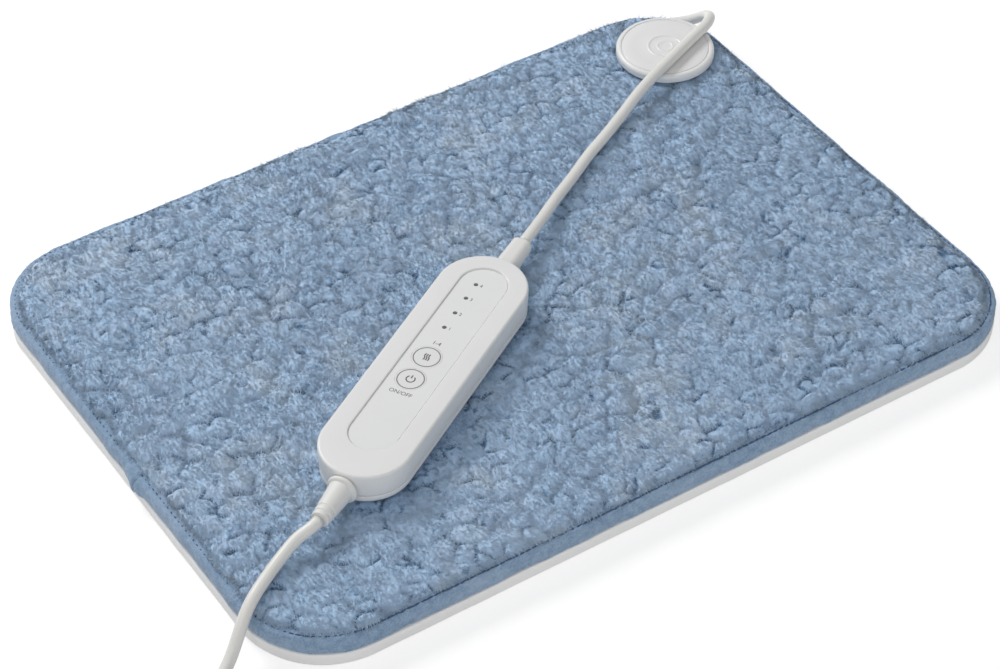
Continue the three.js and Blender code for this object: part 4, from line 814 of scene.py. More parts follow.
def makePile(values):
    # Rows across the rounded outline, closest together where it turns. Each point takes the pile's
    # height and is pushed out by its lobe near the edge. A skirt goes down from the rim to a flat back
    edge, cell = values["edgeInset"], values["cell"]
    radius = pad["corner"] - edge
    straight = pad["depth"] / 2 - pad["corner"]
    turn = np.linspace(0, np.pi / 2, int(radius * np.pi / 2 / cell) + 1)[1:]
    arc = straight + radius * np.sin(turn)
    middle = np.linspace(-straight, straight, int(2 * straight / cell) + 1)
    rows = np.concatenate([-arc[::-1], middle, arc])
    reach = np.sqrt(np.maximum(radius ** 2 - np.maximum(np.abs(rows) - straight, 0) ** 2, 0))
    reach = reach + pad["length"] / 2 - pad["corner"]
    columns = np.linspace(-1, 1, int((pad["length"] - 2 * edge) / cell) + 1)
    x = reach[:, None] * columns[None, :]
    y = np.broadcast_to(rows[:, None], x.shape).copy()
    found = pileAt(x, y)
    outX, outY = found["out"]
    px, py = x + outX * found["push"], y + outY * found["push"]
    height = found["height"]
    # Row and column of each point round the grid's border
    lastRow, lastColumn = len(rows) - 1, len(columns) - 1
    goRows, goColumns = np.arange(lastRow), np.arange(lastColumn)
    at = (np.concatenate([0 * goColumns, goRows, 0 * goColumns + lastRow, lastRow - goRows]),
          np.concatenate([goColumns, 0 * goRows + lastColumn, lastColumn - goColumns, 0 * goRows]))
    share = np.array([0.25, 0.55, 0.8, 1.0])[:, None]
    bulge = np.array([0.35, 0.1, -0.9, -2.2])[:, None]
    skirtX = px[at] + outX[at] * bulge
    skirtY = py[at] + outY[at] * bulge
    skirtZ = height[at] + (values["skirtBottom"] - height[at]) * share
    count = len(at[0])
    points = np.concatenate([
        np.stack([px, py, height], -1).reshape(-1, 3),
        np.stack([skirtX, skirtY, skirtZ], -1).reshape(-1, 3),
    ])
    ring = np.vstack([at[0] * len(columns) + at[1], px.size + np.arange(4 * count).reshape(4, count)])
    nextRing = np.roll(ring, -1, axis=1)
    skirt = np.stack([ring[:-1], ring[1:], nextRing[1:], nextRing[:-1]], -1).reshape(-1, 4)
    faceSets = [gridFaces(len(rows), len(columns)), skirt, ring[-1][None, ::-1]]
    piece = place("plushPile", outwardSkin(points * mm, faceSets), "pad", "plush", "pad_plush_cover")
    # Painted shade: the skirt darkens towards its bottom, and the whole surface takes the pile's painted
    # shade
    skirtPaintedShade = np.clip(found["paintedShade"][at] + share * 0.5, 0, 1)
    paintedShade = np.concatenate([found["paintedShade"].ravel(), skirtPaintedShade.ravel()])
    own = np.concatenate([found["own"].ravel(), np.tile(found["own"][at], 4)])
    setAttribute(piece.data, "pileShade", 0.66 - 0.60 * paintedShade)
    setAttribute(piece.data, "pileTint", own)


def makeFibres(values):
    # Three-sided spikes. Each leans out from the middle of its lobe and its tuft and is shaded with
    # the pile's own slope, so that the light reads the lobe's round and not the spike's
    rng = np.random.default_rng(values["seed"])
    count, edge = values["count"], pile["edgeInset"]
    x = rng.uniform(-1, 1, count) * (pad["length"] / 2 - edge)
    y = rng.uniform(-1, 1, count) * (pad["depth"] / 2 - edge)
    rimLine = padOutline(edge + 0.2, values["edgeCount"])
    jitter = rng.uniform(-1.6, 0.2, values["edgeCount"])[:, None]
    rimX, rimY = (rimLine[0] + rimLine[1] * jitter).T
    x, y = np.concatenate([x, rimX]), np.concatenate([y, rimY])
    inset = insetOf(x, y)[0]
    keep = inset > edge - 0.3
    hang = np.concatenate([np.zeros(count), rng.uniform(0, 1, values["edgeCount"])])[keep][:, None]
    x, y = x[keep], y[keep]
    here = pileAt(x, y)
    # The pile's painted shade, read a little off each spike
    here["paintedShade"] = pileAt(x + rng.normal(0, 0.45, len(x)), y + rng.normal(0, 0.45, len(x)))["paintedShade"]
    step = values["slopeStep"]
    slopeX = (pileAt(x + step, y)["height"] - pileAt(x - step, y)["height"]) / (2 * step)
    slopeY = (pileAt(x, y + step)["height"] - pileAt(x, y - step)["height"]) / (2 * step)
    lean = np.exp(-np.maximum(here["inset"] - edge, 0) / 3.0)
    outX, outY = here["out"]
    normal = unit(np.stack([-0.42 * slopeX + 1.3 * lean * outX, -0.42 * slopeY + 1.3 * lean * outY,
                            np.ones_like(x)], -1))
    random = rng.normal(size=(len(x), 3))
    fromTuft = level(*here["tuft"]) / pile["tuftRadius"]
    fromLobe = level(*here["lobe"]) / pile["lobeRadius"]
    nap = level(*here["nap"])
    brushed = here["brushed"][:, None]
    outDown = np.stack([outX, outY, np.full(len(x), -0.9)], -1)
    way = unit(0.36 * normal + (0.55 - 0.3 * brushed) * fromTuft + 0.06 * fromLobe + 0.42 * random
               + (0.70 + 0.30 * brushed) * nap + 1.1 * hang * outDown)
    length = rng.uniform(*values["length"], len(x)) * (1 - 0.55 * here["paintedShade"])
    surface = np.stack([x + outX * here["push"], y + outY * here["push"], here["height"]], -1)
    root = surface - normal * values["sunk"]
    root[:, 2] -= values["hang"] * hang[:, 0]
    length = length[:, None]
    tip = root + way * length - np.array([0, 0, 1.0]) * length * values["droop"]
    tip[:, 2] = np.minimum(tip[:, 2], here["limit"] - 0.03)
    way = unit(tip - root)
    side = unit(np.cross(way, normal + 0.2 * random[:, ::-1]))
    rise = np.cross(way, side)
    wide = values["width"] * rng.uniform(0.7, 1.3, len(x))[:, None] / 2
    turn = np.radians([90, 210, 330])
    spike = np.stack([root + wide * (np.cos(t) * side + np.sin(t) * rise) for t in turn] + [tip], 1)
    shading = unit(normal + 0.28 * way)
    tone = rng.normal(0, 0.14, len(x)) + 0.16 * (here["tuftOwn"] - 0.5)
    # Painted shade: as the pile's, more on the fibres that hang down the rim, darker at each spike's
    # root, with a painted highlight at its tip
    base = 0.87 - 0.75 * here["paintedShade"] + tone - 0.12 * hang[:, 0]
    shade = np.stack([base - 0.14, base - 0.14, base - 0.14, base + 0.20], 1)
    order = rng.permutation(len(x))
    for number, chosen in enumerate(np.array_split(order, math.ceil(len(x) / values["perPiece"]))):
        start = 4 * np.arange(len(chosen))[:, None]
        sides = [start + np.array([[i, (i + 1) % 3, 3]]) for i in range(3)]
        points = spike[chosen].reshape(-1, 3) * mm
        piece = place(f"plushFibres{number + 1}", (points, sides), "pad", "plush")
        setAttribute(piece.data, "pileShade", shade[chosen])
        setAttribute(piece.data, "pileTint", np.repeat(here["own"][chosen], 4))
        piece.data.normals_split_custom_set_from_vertices(np.repeat(shading[chosen], 4, axis=0))


def padOutline(inset, columns):
    # Points of the pad's rounded outline at even steps, drawn in by the inset, and the ways out
    radius = pad["corner"]
    a, b = pad["length"] / 2 - radius, pad["depth"] / 2 - radius
    quarter = radius * np.pi / 2
    ends = np.cumsum([0, 2 * b, quarter, 2 * a, quarter, 2 * b, quarter, 2 * a, quarter])
    s = np.linspace(0, ends[-1], columns, endpoint=False)
    part = np.searchsorted(ends, s, side="right") - 1
    within = s - ends[part]
    side = part // 2
    straight = part % 2 == 0
    heading = side * np.pi / 2 + np.where(straight, 0, within / radius)
    cornerX, cornerY = np.array([a, -a, -a, a])[side], np.array([b, b, -b, -b])[side]
    startX, startY = np.array([a, a, -a, -a])[side], np.array([-b, b, b, -b])[side]
    baseX = np.where(straight, startX - np.sin(side * np.pi / 2) * within, cornerX)
    baseY = np.where(straight, startY + np.cos(side * np.pi / 2) * within, cornerY)
    out = np.stack([np.cos(heading), np.sin(heading)], -1)
    return np.stack([baseX, baseY], -1) + out * (radius - inset), out


print("Pile")
makePile(pile)
print("Fibres")
makeFibres(fibre)


# The pad's edge binding and back cover

binding = {
    "columns": 1640,
    "bottom": 7.3,
    "top": 16.2,
    "inner": 12.6,
    "round": 3.2,
    "foot": 1.9,
    "wave": 0.42,
    "nap": 0.16,
    "jointPlace": -11.0,  # along the left edge
    "jointBulge": 2.3,
    "jointReach": 5.5,
    "stitchInset": 2.7,
    "stitchPitch": 3.3,
    "stitchLength": 1.5,
    "stitchRadius": 0.24,
    "stitchSink": 0.30,
    "stitchSeed": 5,
}

backCover = {
    "columns": 1640,
    "around": 1308.0,  # length that its waves are laid along
    "height": 7.0,
    "round": 1.9,
    "topRound": 0.9,
    "wave": 0.22,
    "socket": (130.4, 160.3),  # from and to along the back edge
    "socketFloor": 0.45,
    "socketTop": 11.0,
    "socketInset": 27.0,
}


def bindingProfile(values):
    # From the inner bottom round the outside to the inner top, in inset and height
    low = np.linspace(0, np.pi / 2, 6)
    high = np.linspace(0, np.pi / 2, 12)
    foot, rim = values["foot"], values["round"]
    parts = [
        np.array([[inset, values["bottom"]] for inset in (values["inner"], 8.0, 4.5)]),
        np.stack([foot * (1 - np.sin(low)), values["bottom"] + foot * (1 - np.cos(low))], -1),
        np.array([[0.0, z] for z in np.linspace(values["bottom"] + foot, values["top"] - rim, 7)[1:-1]]),
        np.stack([rim * (1 - np.cos(high)), values["top"] - rim + rim * np.sin(high)], -1),
        np.array([[4.1, values["top"] + 0.05], [5.2, values["top"] - 0.1], [6.6, values["top"] - 0.5],
                  [9.0, values["top"] - 1.2], [values["inner"], values["top"] - 1.6]]),
    ]
    return np.vstack(parts)


def nearSocket(x, y):
    # Along the stretch of the back edge that holds the socket
    return (x > backCover["socket"][0]) & (x < backCover["socket"][1]) & (y > 0)


def makeBinding(values):
    # The profile goes round the pad's outline. Waves and nap lift it outwards; where the tape's ends
    # meet it swells and dips, and at each stitch it is drawn in
    profile = bindingProfile(values)
    outline, out = padOutline(0.0, values["columns"])
    perimeter = np.arange(values["columns"]) * rimLength / values["columns"]
    x = outline[None, :, 0] - out[None, :, 0] * profile[:, :1]
    y = outline[None, :, 1] - out[None, :, 1] * profile[:, :1]
    z = np.broadcast_to(profile[:, 1:], x.shape).copy()
    way = unit(np.gradient(profile, axis=0))
    outward, upward = way[:, 1:], way[:, :1]
    around = np.broadcast_to(perimeter[None, :], x.shape)
    rise = summed(stepLengths(profile))[:, None]
    wave = softNoise(around + 400, rise + 40, 9.0) - 0.5
    nap = softNoise(around, rise + 90, 1.3) - 0.5 + 0.7 * (softNoise(around, rise + 160, 0.8) - 0.5)
    shown = smoothStep((7.0 - profile[:, :1]) / 3.0) * (profile[:, 1:] > values["bottom"] + 0.01)
    swell = values["wave"] * wave * 2 + values["nap"] * nap * 2
    # Tape joint on the left edge
    slant = 0.30 * (z - 12.0) * np.where(z > 12.0, -1.0, 1.0)
    toJoint = y - values["jointPlace"] - slant
    bulge = bell(toJoint / values["jointReach"]) * values["jointBulge"]
    bulge = bulge * smoothStep((values["top"] + 0.4 - z) / 6.0)
    tail = 0.35 * smoothStep((toJoint + 0.3) / 0.6) * np.exp(-np.maximum(toJoint, 0) / 7.0)
    notch = 1.15 * bell(toJoint / 0.55) - tail
    swell = swell + (x < -150) * (bulge - notch)
    # Stitches draw the tape in
    beat = np.cos(2 * np.pi * perimeter / values["stitchPitch"])[None, :]
    line = bell((profile[:, :1] - values["stitchInset"]) / 0.75) * (profile[:, 1:] > 13)
    swell = swell - line * (0.32 + 0.14 * beat)
    swell = swell * shown
    x = x + out[None, :, 0] * outward * swell
    y = y + out[None, :, 1] * outward * swell
    z = z + upward * swell
    z = np.where(nearSocket(x, y), np.maximum(z, backCover["socketTop"] + 0.1), z)
    rings = np.stack([x, y, z], -1) * mm
    place("edgeBinding", closedSkin(rings, True), "pad", "velour", "pad_edge_binding")


def makeStitches(values):
    # Each stitch is a short six-sided bead of thread that bows into the tape at both ends
    outline, out = padOutline(values["stitchInset"], int(rimLength / values["stitchPitch"]))
    # Along the front and the right they lie end to end, a seam, thickened into a dark line of painted
    # shadow under the pile's edge; elsewhere apart
    seam = smoothStep((np.maximum(-out[:, 1], out[:, 0]) - 0.5) / 0.2)
    along = np.stack([-out[:, 1], out[:, 0]], -1)
    rng = np.random.default_rng(values["stitchSeed"])
    tilt = rng.normal(0, 0.10, len(outline))[:, None]
    heading = unit(along + out * tilt)
    share = np.array([-1.0, -0.8, -0.3, 0.3, 0.8, 1.0])
    bow = np.array([-0.42, -0.12, 0.05, 0.05, -0.12, -0.42])
    size = np.array([0.35, 0.8, 1.0, 1.0, 0.8, 0.35]) * values["stitchRadius"]
    turn = np.linspace(0, 2 * np.pi, 6, endpoint=False)
    half = values["stitchLength"] / 2 * rng.uniform(0.75, 1.15, len(outline)) * (1 + 1.6 * seam)
    rim = values["round"]
    top = values["top"] - rim + np.sqrt(rim ** 2 - (rim - values["stitchInset"]) ** 2)
    top = top - values["stitchSink"]
    middle = outline[:, None] + heading[:, None] * (share * half[:, None])[..., None]
    height = top + bow + rng.normal(0, 0.05, len(outline))[:, None]
    centre = np.concatenate([middle, height[..., None]], -1)
    side = level(-heading[:, 1], heading[:, 0])[:, None, None]
    circle = np.cos(turn)[:, None] * side + np.sin(turn)[:, None] * np.array([0, 0, 1.0])
    rings = centre[:, :, None] + ((1 + 0.7 * seam)[:, None] * size)[..., None, None] * circle
    caps = np.array([np.arange(6)[::-1], 30 + np.arange(6)])
    starts = (36 * np.arange(len(rings)))[:, None, None]
    faceSets = [(starts + gridFaces(6, 6, False, True)).reshape(-1, 4), (starts + caps).reshape(-1, 6)]
    skin = outwardSkin(rings.reshape(-1, 3) * mm, faceSets)
    place("bindingStitches", skin, "pad", "velour", finish="thread")


def makeBackCover(values):
    # Rings round the pad's outline, bottom to top, softly uneven; a bay at the back for the socket
    foot = np.linspace(0, np.pi / 2, 7)
    high = np.linspace(0, np.pi / 2, 5)
    low, top = values["round"], values["topRound"]
    rows = [(low * (1 - math.sin(t)), low * (1 - math.cos(t))) for t in foot]
    rows += [(0.0, 3.0), (0.0, 4.2), (0.0, 5.3)]
    rows += [(top * (1 - math.cos(t)), values["height"] - top * (1 - math.sin(t))) for t in high]
    outline, out = padOutline(0.0, values["columns"])
    perimeter = np.arange(values["columns"]) * values["around"] / values["columns"]
    rows = np.array(rows)
    wave = (softNoise(perimeter[None, :] + 0 * rows[:, :1], rows[:, 1:] * 1.4 + 300, 11.0) - 0.5) * 2
    swell = values["wave"] * wave * smoothStep(rows[:, 1:] / 1.5)
    inset = rows[:, :1] - swell
    bay = nearSocket(outline[None, :, 0] + 0 * inset, outline[None, :, 1] + 0 * inset)
    inset = np.where(bay & (rows[:, 1:] > values["socketFloor"]), values["socketInset"], inset)
    x = outline[None, :, 0] - out[None, :, 0] * inset
    y = outline[None, :, 1] - out[None, :, 1] * inset
    z = np.broadcast_to(rows[:, 1:], x.shape)
    rings = np.stack([x, y, z], -1) * mm
    place("backCover", closedSkin(rings), "pad", "lining", "pad_back_cover", sharpAngle=50)


# Moulded parts: turned, stadium-shaped and flat ones

def ownPlace(along, across, height):
    # The controller's own along, across and height to the part's frame, in metres
    along, across, height = np.broadcast_arrays(along, across, height)
    x = controller["centre"][0] + along * alongWay[0] + across * acrossWay[0]
    y = controller["centre"][1] + along * alongWay[1] + across * acrossWay[1]
    return np.stack([x, y, height], -1) * mm


def turnedRings(profile, origin, axis, side, columns):
    # Circles of the profile's radii at its places along an axis; side is square to the axis
    profile = np.asarray(profile, float)
    axis, side = np.asarray(axis, float), np.asarray(side, float)
    other = np.cross(axis, side)
    turn = np.linspace(0, 2 * np.pi, columns, endpoint=False)[None, :, None]
    middle = np.asarray(origin, float) + axis * profile[:, 1:]
    return (middle[:, None] + profile[:, :1, None] * (np.cos(turn) * side + np.sin(turn) * other)) * mm


def quarter(radius, edge, height, steps, fromBelow=False):
    # A rounded edge in radius and height, going up: over the top of a rim, or out from under it
    t = np.linspace(0, np.pi / 2, steps)
    if fromBelow:
        return np.stack([edge - radius * (1 - np.sin(t)), height + radius * (1 - np.cos(t))], -1)
    return np.stack([edge - radius * (1 - np.cos(t)), height - radius * (1 - np.sin(t))], -1)


def stadium(inset, length, width, middle=0.0):
    # Each rounded end takes 72 points and each straight side 24
    arc, side = 72, 24
    radius, half = width / 2 - inset, (length - width) / 2
    turn = np.linspace(-np.pi / 2, np.pi / 2, arc)
    run = np.linspace(half, -half, side + 2)[1:-1]
    out, up = radius * np.cos(turn), radius * np.sin(turn)
    along = np.concatenate([half + out, run, -half - out, -run])
    across = np.concatenate([up, 0 * run + radius, -up, 0 * run - radius])
    return np.stack([along + middle, across], -1)


def insideLoop(places, loop):
    # A place is inside if a level line from it crosses the loop's sides an odd number of times
    ax, ay = loop.T
    bx, by = np.roll(loop, -1, axis=0).T
    x, y = places[:, :1], places[:, 1:]
    crossed = (ay > y) != (by > y)
    meets = ax + (y - ay) * (bx - ax) / np.where(ay == by, 1, by - ay)
    return (crossed & (x < meets)).sum(1) % 2 == 1


def holeFilledFaces(loops):
    # Triangles that fill the first loop of flat points and leave the other loops open
    flat = np.concatenate(loops)
    edges, start = [], 0
    for loop in loops:
        edges += [(start + i, start + (i + 1) % len(loop)) for i in range(len(loop))]
        start += len(loop)
    found = delaunay_2d_cdt([Vector(p) for p in flat], edges, [], 2, 1e-7)
    own = np.array([ids[0] for ids in found[3]])
    faces = own[np.array(found[2])]
    middles = flat[faces].mean(1)
    hollow = np.any([insideLoop(middles, loop) for loop in loops[1:]], axis=0)
    return faces[~hollow]


def turnedTo(points, faces, upwards):
    # Flat faces that share a side, all turned up or all turned down
    a, b, c = points[faces[0]]
    return faces if (np.cross(b - a, c - a)[2] > 0) == upwards else faces[:, ::-1]


def circleLoop(along, across, radius, columns):
    # Points all round a circle
    turn = np.linspace(0, 2 * np.pi, columns, endpoint=False)
    return np.stack([along + radius * np.cos(turn), across + radius * np.sin(turn)], -1)


def joined(skins):
    # Several skins as one set of points and faces
    points, faceSets, start = [], [], 0
    for own, sets in skins:
        points.append(own)
        faceSets += [faces + start for faces in sets]
        start += len(own)
    return np.concatenate(points), faceSets


def stroke(line, width, low, high, closed=False):
    # A printed line: a thin rectangle carried along points in the controller's own along and across
    line = np.asarray(line, float)
    way = unit(np.roll(line, -1, 0) - np.roll(line, 1, 0) if closed else np.gradient(line, axis=0))
    side = np.stack([-way[:, 1], way[:, 0]], -1) * width / 2
    corners = [(line - side, low), (line + side, low), (line + side, high), (line - side, high)]
    return closedSkin(np.stack([ownPlace(at[:, 0], at[:, 1], z) for at, z in corners], 1), closed)


def lettering(text, size, along, across, low, high):
    # Lettering as a thin solid that reads across the controller, its head towards the upper end
    curve = bpy.data.curves.new("lettering", "FONT")
    curve.body, curve.size = text, size
    curve.align_x, curve.align_y = "CENTER", "CENTER"
    curve.resolution_u = 3
    writer = bpy.data.objects.new("lettering", curve)
    flat = bpy.data.meshes.new_from_object(writer)
    count = len(flat.vertices)
    spots = np.zeros(count * 3)
    flat.vertices.foreach_get("co", spots)
    spots = spots.reshape(-1, 3)
    faces = [list(face.vertices) for face in flat.polygons]
    # The rim is the sides that no other face has the other way round
    sides = {pair: True for face in faces for pair in zip(face, face[1:] + face[:1])}
    edges = np.array([pair for pair in sides if pair[::-1] not in sides])
    bottom, top = (ownPlace(along + spots[:, 1], across - spots[:, 0], z) for z in (low, high))
    triangles = np.array([(face[0], *pair) for face in faces for pair in zip(face[1:], face[2:])])
    walls = np.stack([edges[:, 0], edges[:, 0] + count, edges[:, 1] + count, edges[:, 1]], -1)
    bpy.data.objects.remove(writer)
    bpy.data.meshes.remove(flat)
    faceSets = [triangles[:, ::-1], triangles + count, walls[:, ::-1]]
    return outwardSkin(np.concatenate([bottom, top]), faceSets)


# Connector's round cover

def makeDisc(values):
    # Turned: boss, flat underside, rounded rim, groove near the rim and two low raised rings
    radius, low, high = values["radius"], values["bottom"], values["top"]
    rows = [(8.0, 10.8), (8.0, low)]
    rows += list(quarter(0.6, radius, low, 5, True))
    rows += list(quarter(1.9, radius, high, 12))
    groove = [(22.55, 0), (22.42, -0.06), (22.36, -0.42), (22.15, -0.5), (21.94, -0.42), (21.88, -0.06),
              (21.75, 0)]
    ring = [(9.3, 0), (9.12, 0.05), (8.95, 0.24), (8.6, 0.3), (8.25, 0.24), (8.08, 0.05), (7.9, 0)]
    innerRing = [(4.4, 0), (4.28, 0.04), (4.15, 0.16), (3.9, 0.2), (3.65, 0.16), (3.52, 0.04),
                 (3.4, 0)]
    rows += [(r, high + rise) for r, rise in groove + [(16.0, 0.0)] + ring + innerRing + [(1.2, 0.0)]]
    rings = turnedRings(rows, (*values["centre"], 0), (0, 0, 1), (1, 0, 0), 160)
    place("connectorCover", closedSkin(rings), "pad", "white_plastic", "connector_cover", sharpAngle=60)


# Controller

shell = {
    "seam": 25.2,
    "seamGap": 0.15,
    "draft": 0.4,
    "wall": 1.9,
    "topRound": 1.2,
    "bottomRound": 3.0,
    "screws": ((-62.0, 11.18), (66.0, -9.03)),
    "screwHole": 2.6,
    "screwSink": 3.7,
}

panel = {
    "length": 128.6,
    "width": 22.8,
    "middle": 4.2,
    "bottom": 35.6,
    "top": 36.7,
    "bevel": 0.6,
    "buttons": ((-11.98, 1.376), (3.72, 1.376)),
    "buttonHole": 7.12,
    "lights": ((24.645, 3.225), (35.34, 3.225), (46.345, 3.225), (56.575, 3.225)),
    "lightHole": 1.05,
}

button = {
    "radius": 7.06,
    "round": 0.08,
    "dish": 0.02,
    "flange": 7.4,
    "flangeBottom": 33.0,
    "flangeTop": 34.0,
}


printing = {
    "deep": 0.3,  # into the cap
    "capRise": 0.02,
    "panelDeep": 0.1,
    "panelRise": 0.025,
    "line": 0.56,
    "arc": 2.0,
    "arcFromTo": (38, 322),
    "tick": (0.55, 1.3, 2.45),
    "waveReach": 2.05,
    "wavePitch": 1.05,
    "waveHeight": 0.34,
    "ring": 6.12,
    "ringLine": 0.52,
}


def stadiumRings(rows):
    # Each row: inset, height, and whether it follows the panel's outline and not the shell's
    made = []
    for inset, height, ofPanel in rows:
        if ofPanel:
            flat = stadium(inset, panel["length"], panel["width"], panel["middle"])
        else:
            flat = stadium(inset, controller["length"], controller["width"])
        made.append(ownPlace(*flat.T, height))
    return np.stack(made)


def makeTopShell(values):
    # Up the outside, over the rounded rim, down the bevel into the panel's pocket and back inside
    seam = values["seam"] + values["seamGap"]
    top, draft, wall, rim = controller["top"], values["draft"], values["wall"], values["topRound"]
    turn = np.linspace(0, np.pi / 2, 12)
    rows = [(draft + 0.25, seam, False), (draft + 0.06, seam + 0.08, False), (draft, seam + 0.3, False)]
    rows += [(draft * 0.6, seam + 3.5, False), (draft * 0.2, seam + 6.5, False)]
    rows += [(rim * (1 - math.cos(t)), top - rim * (1 - math.sin(t)), False) for t in turn]
    bevel, pocket = -panel["bevel"], panel["top"] - 0.06
    rows += [(bevel - 0.5, top, True), (bevel - 0.12, top - 0.02, True)]
    rows += [(bevel + 0.12, top - 0.10, True)]
    rows += [(-0.26, pocket + 0.05, True), (-0.14, pocket, True), (-0.12, panel["bottom"] - 0.3, True)]
    rows += [(3.0, panel["bottom"] - 0.3, True), (3.0, panel["bottom"] - 1.3, True)]
    rows += [(bevel, panel["bottom"] - 1.3, True), (bevel, top - wall, True)]
    rows += [(draft + wall + rim, top - wall, False), (draft + wall, top - wall - rim, False),
             (draft + wall, seam, False)]
    place("controllerTop", closedSkin(stadiumRings(rows), True), "harness", "white_plastic",
          "controller_top_shell", sharpAngle=35)


def makeBottomShell(values):
    # Flat underside with two sunk screw holes, rounded edge, seam rim and a hollow inside
    low, draft, wall, foot = controller["bottom"], values["draft"], values["wall"], values["bottomRound"]
    seam = values["seam"] - values["seamGap"]
    turn = np.linspace(0, np.pi / 2, 10)
    rows = [(draft + foot * (1 - math.sin(t)), low + foot * (1 - math.cos(t)), False) for t in turn]
    rows += [(draft, seam - 0.3, False), (draft + 0.06, seam - 0.08, False), (draft + 0.25, seam, False)]
    rows += [(draft + wall, seam, False), (draft + wall, low + foot, False),
             (draft + wall + foot / 2, low + wall, False)]
    rings = stadiumRings(rows)
    count = rings.shape[1]
    points = [rings.reshape(-1, 3)]
    loops, own = [stadium(draft + foot, controller["length"], controller["width"])], [np.arange(count)]
    tubes, caps = [], []
    for number, spot in enumerate(values["screws"]):
        loop = circleLoop(*spot, values["screwHole"], 40)
        points += [ownPlace(*loop.T, z) for z in (low, low + values["screwSink"])]
        base = len(rings) * count + number * 80
        loops.append(loop)
        own.append(base + np.arange(40))
        tubes.append(gridFaces(2, 40, False, True)[:, ::-1] + base)
        caps.append(base + 40 + np.arange(40)[::-1])
    points = np.concatenate(points)
    underside = turnedTo(points, np.concatenate(own)[holeFilledFaces(loops)], False)
    outside = gridFaces(len(rings), count, False, True)
    inside = (len(rings) - 1) * count + np.arange(count)[None, :]
    skin = (points, [outside, inside, underside, *tubes, np.array(caps)])
    place("controllerBottom", skin, "harness", "white_plastic", "controller_bottom_shell", sharpAngle=35)


def makePanel(values):
    # A flat plate with small rounded edges round its outline, its button holes and its light holes
    rows = [(0.12, values["bottom"]), (0.0, values["bottom"] + 0.12), (0.0, values["top"] - 0.09),
            (0.03, values["top"] - 0.03), (0.09, values["top"])]
    # A loop for each row: the outline first, then the holes, which widen a little at their edges
    edges = [[stadium(inset, values["length"], values["width"], values["middle"])
              for inset, height in rows]]
    for spots, radius, columns in ((values["buttons"], values["buttonHole"], 96),
                                   (values["lights"], values["lightHole"], 32)):
        edges += [[circleLoop(*spot, radius + 0.3 * inset, columns) for inset, height in rows]
                  for spot in spots]
    skins, starts = [], []
    for number, loops in enumerate(edges):
        rings = np.stack([ownPlace(*loop.T, height) for loop, (inset, height) in zip(loops, rows)])
        faces = gridFaces(*rings.shape[:2], False, True)
        starts.append(sum(len(points) for points, faceSets in skins))
        skins.append((rings.reshape(-1, 3), [faces if number == 0 else faces[:, ::-1]]))
    points, faceSets = joined(skins)
    # Its two flat faces, with the holes left open
    for row in (0, len(rows) - 1):
        loops = [loops[row] for loops in edges]
        own = np.concatenate([start + row * len(loop) + np.arange(len(loop))
                              for start, loop in zip(starts, loops)])
        faceSets.append(turnedTo(points, own[holeFilledFaces(loops)], row > 0))
    place("controllerPanel", (points, faceSets), "harness", "panel_plastic", "controller_panel",
          sharpAngle=20)


def makeButtonCap(name, spot, node, values):
    # Turned: a flange under the panel, a straight side, a small rounded edge, a top that dips a little.
    # Its body has its node's name
    top = panel["top"]
    rows = [(values["flange"], values["flangeBottom"]), (values["flange"], values["flangeTop"]),
            (values["radius"], values["flangeTop"])]
    rows += list(quarter(values["round"], values["radius"], top, 6))
    rows += [(5.9, top), (0.5, top - values["dish"])]
    rings = turnedRings(rows, ownPlace(*spot, 0.0) / mm, (0, 0, 1), (1, 0, 0), 96)
    place(name, closedSkin(rings), node, "button_plastic", node, sharpAngle=50)


def arcLine(along, across, radius, start, end, steps):
    # Points of a circle between two angles in degrees
    turn = np.radians(np.linspace(start, end, steps))
    return np.stack([along + radius * np.cos(turn), across + radius * np.sin(turn)], -1)


def makeButtonMarks(values):
    # On each cap a printed ring; an arc with a tick on the power button, three waves on the heat button
    top = panel["top"]
    low, high = top - values["deep"], top + values["capRise"]
    (x, y), heat = panel["buttons"]
    tick = [(x + along, y) for along in values["tick"]]
    power = [arcLine(x, y, values["arc"], *values["arcFromTo"], 48), tick]
    share = np.linspace(-1, 1, 28)
    reach, rise = values["waveReach"] * share, values["waveHeight"] * np.sin(share * np.pi)
    waves = [np.stack([heat[0] + reach, heat[1] + values["wavePitch"] * number + rise], -1)
             for number in (-1, 0, 1)]
    for name, spot, body, lines in (("power", (x, y), "power_button", power),
                                    ("heat", heat, "heat_button", waves)):
        marks = joined([stroke(line, values["line"], low, high) for line in lines])
        place(name + "Marks", marks, body, "button_plastic", finish="ink")
        ring = arcLine(*spot, values["ring"], 0, 360 - 360 / 96, 96)
        place(name + "Ring", stroke(ring, values["ringLine"], low, high, True), body, "button_plastic",
              finish="paleInk")


def makePanelMarks(values):
    # Generic lettering only: level numbers beside the lights, their range by the heat button, ON and
    # OFF by the power button
    low, high = panel["top"] - values["panelDeep"], panel["top"] + values["panelRise"]
    numbers = [lettering(str(number + 1), 2.7, along, across - 2.7, low, high)
               for number, (along, across) in enumerate(panel["lights"])]
    place("levelNumbers", joined(numbers), "harness", "panel_plastic", finish="ink")
    power, heat = panel["buttons"]
    names = [lettering("1-4", 3.2, heat[0] + 9.8, heat[1], low, high),
             lettering("ON/OFF", 3.1, power[0] - 9.8, power[1], low, high)]
    place("buttonNames", joined(names), "harness", "panel_plastic", finish="ink")


# Strain reliefs, mains plug and tie

relief = {
    "height": 29.085,
    "end": 77.5,
    "flange": (7.2, 2.2),
    "sleeve": (5.8, 4.2, 19.0),
    "grooves": (0.72, 0.88),
    "stub": (10.8, 9.0, 9.8, 8.2, 21.5),
}

